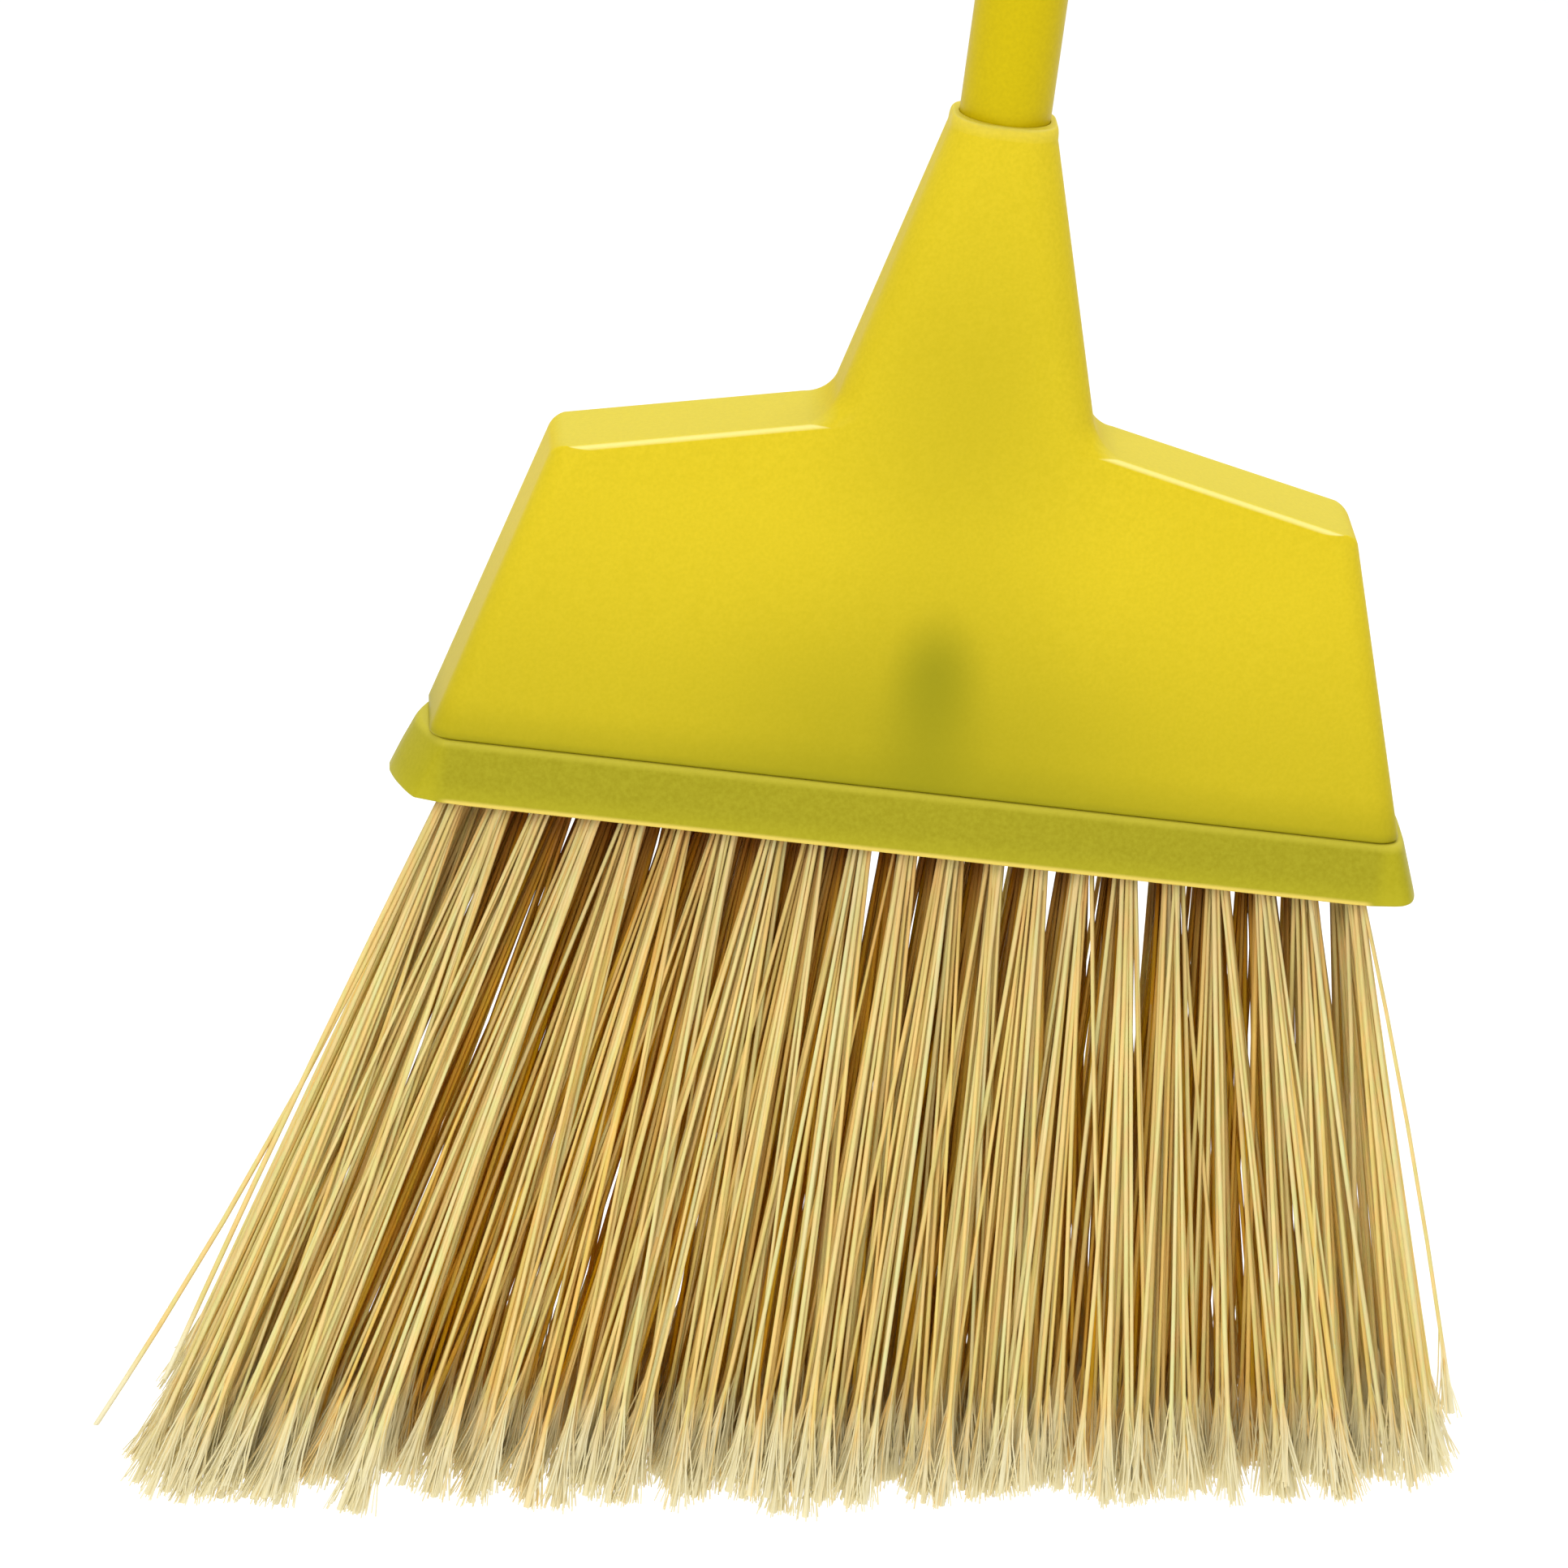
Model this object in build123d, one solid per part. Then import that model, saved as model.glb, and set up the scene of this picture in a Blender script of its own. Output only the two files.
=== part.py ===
from build123d import *
import math
import os

# Angle broom, in millimetres. Heights run up the handle axis from the lower edge of the bristle
# block. +X is the right-hand end of the head, -Y its front, and +Z points up the handle. At the
# end every piece is moved down, so that the centre of the hang hole is the origin.

# Handle: a steel tube in a vinyl sleeve, with a screw tip below and a hanger on top
HANDLE_DIAMETER = 22.2
HANDLE_LENGTH = 1219.0
SLEEVE_WALL = 0.4
TUBE_WALL = 0.7
THREAD_DIAMETER = 19.05
THREAD_LENGTH = 29.0
THREAD_LEAD_IN = 2.5
TIP_COLLAR_HEIGHT = 3.0
TIP_PLUG_LENGTH = 30.0
TIP_CORE_DIAMETER = 12.0
TIP_FLOOR = 5.0
HANGER_HEIGHT = 30.0
HANGER_NECK_HEIGHT = 7.0
HANGER_THICKNESS = 11.0
HANGER_PLUG_LENGTH = 25.0
HANG_HOLE_DIAMETER = 8.0
HANG_HOLE_TO_TOP = 12.0

# Bristle block: a rim below the cap, a plate of tuft holes, and a wall that stands in the cap
RIM_HEIGHT = 16.0
RIM_LEDGE_END = 1.8
RIM_LEDGE_FRONT = 0.8
RIM_FLARE_END = 5.5
RIM_FLARE_FRONT = 0.2
RIM_END_BOW = 6.0
RIM_END_FLAT = 4.0
RIM_WALL = 2.2
RIM_EDGE = 0.8
PLATE_THICKNESS = 7.0
UPSTAND_HEIGHT = 10.0
UPSTAND_WALL = 2.0
HOOK_LENGTH = 12.0
HOOK_HEIGHT = 3.0
HOOK_REACH = 0.8
HOOK_BELOW_TOP = 1.5
HOOK_SPACING = 80.0
HOOKS_PER_SIDE = 3

# Head cap: a hollow moulding with sloping shoulders and a neck, standing on the rim's ledge
CAP_LENGTH = 239.4
CAP_DEPTH = 37.4
CAP_WALL = 2.2
CAP_CORNER = 6.0
SHOULDER_LENGTH = 196.8
SHOULDER_ABOVE_SEAM = 75.7
SHOULDER_SLOPE = 12.2
SHOULDER_CORNER = 7.0
SHOULDER_EDGE = 2.0
NECK_ROOT_LENGTH = 65.4
NECK_ROOT_CORNER = 12.0
NECK_ROOT_EDGE = 9.0
NECK_LIP_WALL_END = 1.75
NECK_LIP_WALL_FRONT = 2.6
NECK_LIP_CORNER = 10.5
NECK_LIP_EDGE_END = 0.6
NECK_LIP_EDGE_FRONT = 1.0
NECK_LIP_EDGE_HEIGHT = 2.0
MOUTH_ABOVE_SEAM = 166.8
MOUTH_GAP_END = 0.5
MOUTH_GAP_FRONT = 1.1
MOUTH_CORNER = 9.0
MOUTH_DEPTH = 8.0
NECK_CORE_BELOW_MOUTH = 33.0
SOCKET_WALL = 2.0
SOCKET_ABOVE_UPSTAND = 2.0
SOCKET_BELOW_TIP = 1.0
SOCKET_BRIDGE_LENGTH = 16.0
WEB_THICKNESS = 2.0
WEB_ABOVE_SEAM = 48.0

# Bristles: staggered rows of tufts, each row melted into one strip on top of the plate
ROW_NAMES = ["front", "mid_front", "mid_back", "back"]
TUFT_PITCH = 10.5
TUFT_HOLE_SIDES = 8
STRIP_HEIGHT = 3.0
STRIP_GAP = 0.4
STRAND_WIDTH = 1.5
STRAND_GAP = 0.45
STRAND_ROOT_DEPTH = 1.0
STRAND_TIP_RING = 5.5
STRANDS_ROUND_CENTRE = 4
FAN_ANGLE = 16.0
ROW_LEAN = 6.5
TRIM_LENGTH = 163.6
TRIM_ANGLE = 6.56

# Clearances, each on one side, and how finely the rulings follow the cap's arcs and neck
HANDLE_CLEARANCE = 0.35
THREAD_CLEARANCE = 0.2
TUBE_FIT = 0.05
CAP_CLEARANCE = 0.25
HOOK_CLEARANCE = 0.2
TUFT_CLEARANCE = 0.3
ARC_STEPS = 4
NECK_STEPS = 3

# Radii of the pieces on the handle axis, and the neck's mouth round them
sleeve_outer = HANDLE_DIAMETER / 2
sleeve_inner = sleeve_outer - SLEEVE_WALL
tube_outer = sleeve_inner - TUBE_FIT
tube_inner = tube_outer - TUBE_WALL
plug_radius = tube_inner - TUBE_FIT
collar_radius = sleeve_outer - TUBE_FIT
thread_radius = THREAD_DIAMETER / 2
thread_bore_radius = thread_radius + THREAD_CLEARANCE
socket_radius = sleeve_outer + HANDLE_CLEARANCE
mouth_half_length = socket_radius + NECK_LIP_WALL_END
mouth_half_depth = socket_radius + NECK_LIP_WALL_FRONT

# Heights along the handle axis
seam = RIM_HEIGHT
upstand_top = seam + UPSTAND_HEIGHT
plate_foot = seam - PLATE_THICKNESS
socket_foot = upstand_top + SOCKET_ABOVE_UPSTAND
tip_foot = socket_foot + SOCKET_BELOW_TIP
ledge = tip_foot + THREAD_LENGTH
tube_foot = ledge + TIP_COLLAR_HEIGHT
shoulder_height = seam + SHOULDER_ABOVE_SEAM
mouth_height = seam + MOUTH_ABOVE_SEAM
handle_top = tip_foot + HANDLE_LENGTH
tube_top = handle_top - HANGER_HEIGHT
hang_height = handle_top - HANG_HOLE_TO_TOP

# How fast the cap draws in with height, and how steeply its shoulders climb
side_taper = (CAP_LENGTH - SHOULDER_LENGTH) / 2 / SHOULDER_ABOVE_SEAM
depth_taper = (CAP_DEPTH / 2 - mouth_half_depth) / MOUTH_ABOVE_SEAM
shoulder_climb = math.tan(math.radians(SHOULDER_SLOPE))
neck_root_height = shoulder_height + (SHOULDER_LENGTH - NECK_ROOT_LENGTH) / 2 * shoulder_climb
neck_taper = (NECK_ROOT_LENGTH / 2 - mouth_half_length) / (mouth_height - neck_root_height)

# Upright boxes and posts are placed by the middle of their lower face
UPRIGHT = (Align.CENTER, Align.CENTER, Align.MIN)


def section(height, half_length, half_depth, round_x, round_y):
    """A level outline: a rectangle whose four corners are quarter ellipses."""
    edges = []
    for quarter, (side_x, side_y) in enumerate([(1, 1), (-1, 1), (-1, -1), (1, -1)]):
        centre = (side_x * (half_length - round_x), side_y * (half_depth - round_y))
        edges.append(EllipticalCenterArc(centre, round_x, round_y, 90 * quarter, arc_size=90))
    lines = [Line(edges[i] @ 1, edges[(i + 1) % 4] @ 0) for i in range(4)]
    outline = Wire([edge for pair in zip(edges, lines) for edge in pair])
    return Pos(0, 0, height) * Face(outline)


def post(radius, low, high):
    """A round post on the handle axis."""
    return Pos(0, 0, low) * Cylinder(radius, high - low, align=UPRIGHT)


def pipe(outer, inner, low, high):
    """A round tube on the handle axis."""
    return post(outer, low, high) - post(inner, low, high)


def upright_box(length, depth, low, high):
    """A box on the handle axis, from one height to another."""
    return Pos(0, 0, low) * Box(length, depth, high - low, align=UPRIGHT)


def cap_half_length(height, inset=0.0):
    """Half length of the cap below its shoulders."""
    return CAP_LENGTH / 2 - side_taper * (height - seam) - inset


def cap_half_depth(height, inset=0.0):
    """Half depth of the cap: front and back are flat from the seam up to the mouth."""
    return CAP_DEPTH / 2 - depth_taper * (height - seam) - inset


def between(low, high, share):
    """The value that lies a share of the way from low to high."""
    return low + (high - low) * share


def arc_points(corner, before, after, radius):
    """Points on the arc that rounds the corner between two directions of an outline."""
    turn = before.get_angle(after)
    reach = radius * math.tan(math.radians(turn / 2))
    start = corner - before.normalized() * reach
    inward = (after.normalized() - before.normalized()).normalized()
    centre = corner + inward * (radius / math.cos(math.radians(turn / 2)))
    axis = Axis((0, 0, 0), before.cross(after))
    spoke = start - centre
    return [centre + spoke.rotate(axis, turn * i / ARC_STEPS) for i in range(ARC_STEPS + 1)]


def cap_form(inset=0.0):
    """The cap's outer form, or its hollow one wall further in: level outlines joined by rulings."""
    side = Vector(-side_taper, 1)
    slope = Vector(-1, shoulder_climb)
    neck = Vector(-neck_taper, 1)
    shoulder = Vector(SHOULDER_LENGTH / 2 - inset, shoulder_height - inset)
    root = Vector(NECK_ROOT_LENGTH / 2 - inset, neck_root_height - inset)
    edge_run = SHOULDER_EDGE / shoulder_climb
    levels = [(seam, cap_half_length(seam, inset), CAP_CORNER, CAP_CORNER)]
    for i, point in enumerate(arc_points(shoulder, side, slope, SHOULDER_CORNER)):
        run = between(CAP_CORNER, edge_run, i / ARC_STEPS)
        edge = between(CAP_CORNER, SHOULDER_EDGE, i / ARC_STEPS)
        levels.append((point.Y, point.X, run, edge))
    for i, point in enumerate(arc_points(root, slope, neck, NECK_ROOT_CORNER)):
        run = between(edge_run, NECK_ROOT_EDGE, i / ARC_STEPS)
        edge = between(SHOULDER_EDGE, NECK_ROOT_EDGE, i / ARC_STEPS)
        levels.append((point.Y, point.X, run, edge))
    root_height, root_length = levels[-1][:2]
    lip_length = mouth_half_length - inset
    lip_corner = NECK_LIP_CORNER - inset
    for i in range(1, NECK_STEPS + 1):
        height = between(root_height, mouth_height - NECK_LIP_EDGE_HEIGHT, i / NECK_STEPS)
        edge = between(NECK_ROOT_EDGE, lip_corner, i / NECK_STEPS)
        levels.append((height, between(root_length, lip_length, i / NECK_STEPS), edge, edge))
    outlines = [section(z, x, cap_half_depth(z, inset), run, edge) for z, x, run, edge in levels]
    top_length = lip_length - NECK_LIP_EDGE_END
    top_depth = cap_half_depth(mouth_height, inset + NECK_LIP_EDGE_FRONT)
    top_run = lip_corner - NECK_LIP_EDGE_END
    top_edge = lip_corner - NECK_LIP_EDGE_FRONT
    outlines.append(section(mouth_height, top_length, top_depth, top_run, top_edge))
    return loft(outlines, ruled=True)


def hook_row(grow=0.0):
    """The snap hooks along the front of the upstand, or their pockets when grown by a clearance."""
    high = upstand_top - HOOK_BELOW_TOP + grow
    low = upstand_top - HOOK_BELOW_TOP - HOOK_HEIGHT - grow
    face = cap_half_depth(low, CAP_WALL + CAP_CLEARANCE)
    out = face + CAP_CLEARANCE + HOOK_REACH + grow
    back = face - UPSTAND_WALL / 2
    lead = out - HOOK_REACH - CAP_CLEARANCE + grow
    profile = Plane.YZ * Polygon((-back, low), (-out, low), (-lead, high), (-back, high), align=None)
    length = HOOK_LENGTH + 2 * grow
    hook = extrude(profile, amount=length / 2, both=True)
    middle = (HOOKS_PER_SIDE - 1) / 2
    return [Pos(HOOK_SPACING * (i - middle), 0, 0) * hook for i in range(HOOKS_PER_SIDE)]


def make_head_cap():
    """The shell with its handle socket, the bridges and webs that carry it, and hook pockets."""
    core_top = mouth_height - NECK_CORE_BELOW_MOUTH
    hollow = cap_form(CAP_WALL) & upright_box(2 * CAP_LENGTH, 2 * CAP_DEPTH, seam, core_top)
    socket = post(socket_radius + SOCKET_WALL, socket_foot, mouth_height)
    bridge = upright_box(SOCKET_BRIDGE_LENGTH, CAP_DEPTH, socket_foot, mouth_height)
    web = upright_box(SHOULDER_LENGTH, WEB_THICKNESS, seam + WEB_ABOVE_SEAM, mouth_height)
    core = hollow - [socket, bridge, web]
    bores = [post(thread_bore_radius, socket_foot, ledge), post(socket_radius, ledge, mouth_height)]
    opening_length = sleeve_outer + MOUTH_GAP_END
    opening_depth = sleeve_outer + MOUTH_GAP_FRONT
    opening = section(mouth_height, opening_length, opening_depth, MOUTH_CORNER, MOUTH_CORNER)
    bores.append(extrude(opening, amount=-MOUTH_DEPTH))
    pockets = hook_row(HOOK_CLEARANCE)
    pockets += [mirror(pocket, about=Plane.XZ) for pocket in pockets]
    return cap_form() - [core, *bores, *pockets]


def rim_section(height, inset=0.0):
    """The rim's outline at a height: bowed ends, and a flare from its ledge at the seam to its foot."""
    share = (seam - height) / RIM_HEIGHT
    half_length = CAP_LENGTH / 2 + RIM_LEDGE_END + RIM_FLARE_END * share - inset
    half_depth = CAP_DEPTH / 2 + RIM_LEDGE_FRONT + RIM_FLARE_FRONT * share - inset
    return section(height, half_length, half_depth, RIM_END_BOW - inset, half_depth - RIM_END_FLAT / 2)


def upstand_form(inset):
    """The wall inside the cap, or its hollow: it follows the taper of the cap."""
    levels = []
    for z in (seam, upstand_top):
        levels.append(section(z, cap_half_length(z, inset), cap_half_depth(z, inset), CAP_CORNER, CAP_CORNER))
    return loft(levels, ruled=True)


def make_bristle_block():
    """Rim, plate, upstand and hooks in one moulding, with a slanted hole for every tuft."""
    rim = loft(
        [
            rim_section(0, RIM_EDGE),
            rim_section(RIM_EDGE),
            rim_section(seam - RIM_EDGE / 2),
            rim_section(seam, RIM_EDGE / 2),
        ],
        ruled=True,
    )
    skirt = loft([rim_section(0, RIM_WALL), rim_section(plate_foot, RIM_WALL)], ruled=True)
    upstand_outer = CAP_WALL + CAP_CLEARANCE
    upstand = upstand_form(upstand_outer) - upstand_form(upstand_outer + UPSTAND_WALL)
    hooks = hook_row()
    hooks += [mirror(hook, about=Plane.XZ) for hook in hooks]
    holes = [tuft_hole(x, y) for row in range(len(ROW_NAMES)) for x, y in tufts(row)]
    return rim + [upstand, *hooks] - [skirt, *holes]


# The tray inside the upstand holds one strip for each row
tray_inset = CAP_WALL + CAP_CLEARANCE + UPSTAND_WALL
strip_half_length = cap_half_length(seam + STRIP_HEIGHT, tray_inset) - CAP_CORNER
row_pitch = 2 * cap_half_depth(seam + STRIP_HEIGHT, tray_inset) / len(ROW_NAMES)
outer_row = row_pitch * (len(ROW_NAMES) - 1) / 2

# A tuft is one strand with others round it, and just fits its hole
ring_radius = STRAND_WIDTH + STRAND_GAP
tuft_radius = math.hypot(ring_radius + STRAND_WIDTH / 2, STRAND_WIDTH / 2)
hole_radius = tuft_radius + TUFT_CLEARANCE
outer_tuft = strip_half_length - hole_radius

# Lean of a strand for each millimetre that its root stands off the middle, and slope of the trim
fan_rate = math.tan(math.radians(FAN_ANGLE)) / outer_tuft
lean_rate = math.tan(math.radians(ROW_LEAN)) / outer_row
trim_slope = math.tan(math.radians(TRIM_ANGLE))
spread_rate = (STRAND_TIP_RING / ring_radius - 1) / (TRIM_LENGTH + RIM_HEIGHT)


def tufts(row):
    """Places of a row's tufts on the plate: every second row is shifted by half a pitch."""
    shift = 0.5 * (row % 2)
    steps = math.floor(outer_tuft / TUFT_PITCH - shift)
    y = row_pitch * row - outer_row
    count = 2 * steps + 1 + row % 2
    return [(TUFT_PITCH * (i - (count - 1) / 2), y) for i in range(count)]


def tuft_hole(x, y):
    """A hole with a few flats through the plate, along the lean of its tuft."""
    lean = Vector(x * fan_rate, y * lean_rate, -1)
    mouth = Pos(x, y, seam) * RegularPolygon(hole_radius, TUFT_HOLE_SIDES, major_radius=False)
    return extrude(mouth, amount=2 * PLATE_THICKNESS, dir=lean, both=True)


def strand(x, y, off_x, off_y):
    """A square strand from inside its strip down to the slanted trim, straight as it leans."""
    run_x = x * fan_rate + off_x * spread_rate
    run_y = y * lean_rate + off_y * spread_rate
    root_x = x + off_x
    root_y = y + off_y
    drop = (RIM_HEIGHT + TRIM_LENGTH - trim_slope * root_x) / (1 + trim_slope * run_x)
    lean = Vector(run_x, run_y, -1)
    start = Vector(root_x, root_y, seam) - lean * STRAND_ROOT_DEPTH
    end_face = Plane(start) * Rectangle(STRAND_WIDTH, STRAND_WIDTH)
    return extrude(end_face, amount=(drop + STRAND_ROOT_DEPTH) * lean.length, dir=lean)


def strand_offsets():
    """A tuft's strands: one in the middle and a ring of others round it."""
    turn = 360 / STRANDS_ROUND_CENTRE
    ring = [Vector(ring_radius, 0).rotate(Axis.Z, turn * i) for i in range(STRANDS_ROUND_CENTRE)]
    return [Vector(0, 0), *ring]


def make_bristle_row(row):
    """One row: the strip of melted tuft ends and all its strands, joined in a single fuse."""
    places = tufts(row)
    strip = upright_box(2 * strip_half_length, row_pitch - STRIP_GAP, seam, seam + STRIP_HEIGHT)
    strands = [strand(x, y, offset.X, offset.Y) for x, y in places for offset in strand_offsets()]
    return Pos(0, places[0][1], 0) * strip + strands


def make_threaded_tip():
    """The moulded screw tip: thread, collar on the socket's ledge, and hollow plug in the tube."""
    core_radius = TIP_CORE_DIAMETER / 2
    plug_top = tube_foot + TIP_PLUG_LENGTH
    outline = Polyline(
        (0, tip_foot),
        (thread_radius - THREAD_LEAD_IN, tip_foot),
        (thread_radius, tip_foot + THREAD_LEAD_IN),
        (thread_radius, ledge),
        (collar_radius, ledge),
        (collar_radius, tube_foot),
        (plug_radius, tube_foot),
        (plug_radius, plug_top),
        (core_radius, plug_top),
        (core_radius, tip_foot + TIP_FLOOR),
        (0, tip_foot + TIP_FLOOR),
        close=True,
    )
    return revolve(Plane.XZ * make_face(outline), Axis.Z)


def make_hanger_cap():
    """The moulded top: a plug in the tube, and a round-headed tab with a hole to hang by."""
    plug = post(plug_radius, tube_top - HANGER_PLUG_LENGTH, tube_top)
    foot = post(collar_radius, tube_top, tube_top + HANGER_NECK_HEIGHT)
    crown_height = handle_top - collar_radius
    crown = Pos(0, 0, crown_height) * Rot(90, 0, 0) * Cylinder(collar_radius, HANGER_THICKNESS)
    stem = upright_box(HANDLE_DIAMETER, HANGER_THICKNESS, tube_top, crown_height)
    tab = (crown + stem) & post(collar_radius, tube_top, handle_top)
    hole = Pos(0, 0, hang_height) * Rot(90, 0, 0) * Cylinder(HANG_HOLE_DIAMETER / 2, HANDLE_DIAMETER)
    return plug + foot + tab - hole


parts = {
    "head_cap": make_head_cap(),
    "bristle_block": make_bristle_block(),
    "threaded_tip": make_threaded_tip(),
    "handle_tube": pipe(tube_outer, tube_inner, tube_foot, tube_top),
    "handle_sleeve": pipe(sleeve_outer, sleeve_inner, tube_foot, tube_top),
    "hanger_cap": make_hanger_cap(),
}
for row, name in enumerate(ROW_NAMES):
    parts[f"bristle_row_{name}"] = make_bristle_row(row)

os.makedirs("parts", exist_ok=True)
for node, shape in parts.items():
    export_step(Pos(0, 0, -hang_height) * shape, f"parts/{node}.step")
    print(node, len(shape.solids()), "solid of", round(shape.volume), "cubic millimetres")
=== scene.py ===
# %% [markdown]
# # An angle broom
# The CAD model is the skeleton of this scene: it fixes where every piece is and how the head screws
# off its handle. This file dresses it. Each visible piece is worked out again as a fine surface with
# numpy, each row of bristles becomes loose fibres with split tips, and every piece gets the finish
# that its real material has, with painted light and shade in the cap, rim and fibre colours.
#
# All shapes are written in millimetres, with heights measured up the handle from the lower edge of
# the rim. One function turns such points into metres in the CAD frame.

import bpy
import numpy as np
from mathutils import Matrix, Vector


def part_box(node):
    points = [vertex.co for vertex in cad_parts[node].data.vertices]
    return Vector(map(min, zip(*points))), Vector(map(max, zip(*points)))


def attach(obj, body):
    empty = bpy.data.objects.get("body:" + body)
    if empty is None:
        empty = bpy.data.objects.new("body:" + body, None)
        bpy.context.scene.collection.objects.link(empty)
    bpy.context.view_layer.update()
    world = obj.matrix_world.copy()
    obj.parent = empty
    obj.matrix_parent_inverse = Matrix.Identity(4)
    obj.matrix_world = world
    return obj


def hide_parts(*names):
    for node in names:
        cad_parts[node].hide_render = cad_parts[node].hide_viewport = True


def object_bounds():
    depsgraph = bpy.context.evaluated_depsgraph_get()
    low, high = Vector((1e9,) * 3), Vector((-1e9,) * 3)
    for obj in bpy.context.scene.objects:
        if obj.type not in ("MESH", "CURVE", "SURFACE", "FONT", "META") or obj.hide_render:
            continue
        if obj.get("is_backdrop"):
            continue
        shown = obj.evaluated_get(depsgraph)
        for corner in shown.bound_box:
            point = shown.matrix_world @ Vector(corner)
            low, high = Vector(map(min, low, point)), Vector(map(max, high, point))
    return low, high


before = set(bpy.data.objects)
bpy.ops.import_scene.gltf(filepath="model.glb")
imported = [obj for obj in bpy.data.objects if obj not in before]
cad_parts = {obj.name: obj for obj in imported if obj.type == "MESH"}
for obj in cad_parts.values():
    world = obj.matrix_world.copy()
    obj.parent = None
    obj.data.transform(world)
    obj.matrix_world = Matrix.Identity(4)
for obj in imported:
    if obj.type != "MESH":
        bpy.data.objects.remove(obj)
cad_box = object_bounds()

MM = 0.001
rim_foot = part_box("bristle_block")[0].z


def place(points):
    """Millimetres above the rim's foot become metres in the frame: a thousandth, then lowered to the foot."""
    return points * MM + np.array([0.0, 0.0, rim_foot])


def node_box(node):
    """A CAD node's lowest and highest corners, in millimetres above the rim's foot."""
    corners = np.array([tuple(corner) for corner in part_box(node)])
    return (corners - np.array([0.0, 0.0, rim_foot])) / MM


print("CAD box in metres:", [tuple(round(v, 3) for v in corner) for corner in cad_box])

# %% [markdown]
# ## Meshes from arrays
# A surface here is a grid of points: rings that follow each other, with the same number of columns in
# each. Quads between neighbouring rings close it. Blender could build such shapes with modifiers, but
# a grid puts every edge round exactly where it is wanted, and `foreach_set` loads it in one go.


# %% Faces of grids
def grid_faces(rows, columns, wrap_rows=False):
    """Quads between neighbouring rings of a grid that closes round its columns, and its rows if asked."""
    row = np.arange(rows if wrap_rows else rows - 1)[:, None]
    column = np.arange(columns)[None, :]
    above = (row + 1) % rows
    beside = (column + 1) % columns
    corners = [(row, column), (row, beside), (above, beside), (above, column)]
    return np.stack([r * columns + c for r, c in corners], axis=-1).reshape(-1, 4)


def stack_faces(rings, looped=False):
    """Face arrays of a stack of rings: quads between neighbours, then either from the last ring back to the
    first, if looped, or one flat face over each end."""
    rows, columns = rings.shape[:2]
    quads = grid_faces(rows, columns, wrap_rows=looped)
    foot = np.arange(columns)[None, ::-1]
    top = (rows - 1) * columns + np.arange(columns)[None, :]
    return [quads] if looped else [quads, foot, top]


def joined(forms):
    """Points and face arrays of several forms as those of one: each form's corners count on from the last."""
    points, face_sets, first = [], [], 0
    for form_points, form_faces in forms:
        face_sets += [faces + first for faces in form_faces]
        points.append(form_points.reshape(-1, 3))
        first += len(points[-1])
    return np.concatenate(points), face_sets


# %% A piece from its arrays
def put_piece(name, points, face_sets, crease=30.0, uv=None):
    """A named piece from points, arrays of faces and two values per point that its finish may read as UV.
    Edges that turn by more than the crease stay sharp."""
    points = points.reshape(-1, 3)
    mesh = bpy.data.meshes.new(name)
    corners = np.concatenate([faces.ravel() for faces in face_sets]).astype(np.int32)
    sizes = np.concatenate([np.full(len(faces), faces.shape[1]) for faces in face_sets])
    starts = np.concatenate([[0], np.cumsum(sizes)[:-1]]).astype(np.int32)
    mesh.vertices.add(len(points))
    mesh.vertices.foreach_set("co", place(points).astype(np.float32).ravel())
    mesh.loops.add(len(corners))
    mesh.loops.foreach_set("vertex_index", corners)
    mesh.polygons.add(len(sizes))
    mesh.polygons.foreach_set("loop_start", starts)
    mesh.polygons.foreach_set("use_smooth", np.ones(len(sizes), dtype=bool))
    if uv is not None:
        shares = uv.reshape(-1, 2)[corners].astype(np.float32)
        mesh.uv_layers.new(name="shares").data.foreach_set("uv", shares.ravel())
    mesh.update(calc_edges=True)
    mesh.validate()
    mesh.set_sharp_from_angle(angle=np.radians(crease))
    piece = bpy.data.objects.new(name, mesh)
    bpy.context.scene.collection.objects.link(piece)
    print(name, "has", len(points), "points and", int((sizes - 2).sum()), "triangles")
    return piece


# %% [markdown]
# ## Level outlines
# Cap, rim and upstand are all stacks of level outlines: rectangles with elliptic corners. Written with
# two shares for each column, one of the drawn-in half size and one of the corner round, a whole stack
# is four multiplications. The same columns run up the same corner on every level, so an edge stays an
# edge while the outline shrinks.


# %% Level outlines
def outline_columns(corner_steps, long_steps, short_steps):
    """Shares along_x, arc_x, along_y and arc_y of every column, once round a rectangle with round corners."""
    sides = [(1, 1), (-1, 1), (-1, -1), (1, -1)]
    runs = []
    for quarter, (side_x, side_y) in enumerate(sides):
        turn = np.radians(90 * quarter + np.linspace(0, 90, corner_steps + 1))
        runs.append(np.broadcast_arrays(side_x, np.cos(turn), side_y, np.sin(turn)))
        next_x, next_y = sides[(quarter + 1) % 4]
        steps = short_steps if quarter % 2 else long_steps
        share = np.arange(1, steps) / steps
        line_x = side_x + (next_x - side_x) * share
        line_y = side_y + (next_y - side_y) * share
        runs.append(np.broadcast_arrays(line_x, np.cos(turn[-1]), line_y, np.sin(turn[-1])))
    return np.concatenate([np.array(run) for run in runs], axis=1)


def stacked(x, y, z):
    """Points from their coordinates, each spread to the shape of the widest."""
    return np.stack(np.broadcast_arrays(x, y, z), axis=-1)


def level_rings(height, half_length, half_depth, round_x, round_y, columns):
    """Rings of outlines: a column is at a share of half size less round, plus a share of the round."""
    sizes = np.broadcast_arrays(height, half_length, half_depth, round_x, round_y)
    height, half_length, half_depth, round_x, round_y = [np.atleast_1d(size)[:, None] for size in sizes]
    along_x, arc_x, along_y, arc_y = columns
    x = along_x * (half_length - round_x) + arc_x * round_x
    y = along_y * (half_depth - round_y) + arc_y * round_y
    return stacked(x, y, height)


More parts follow.
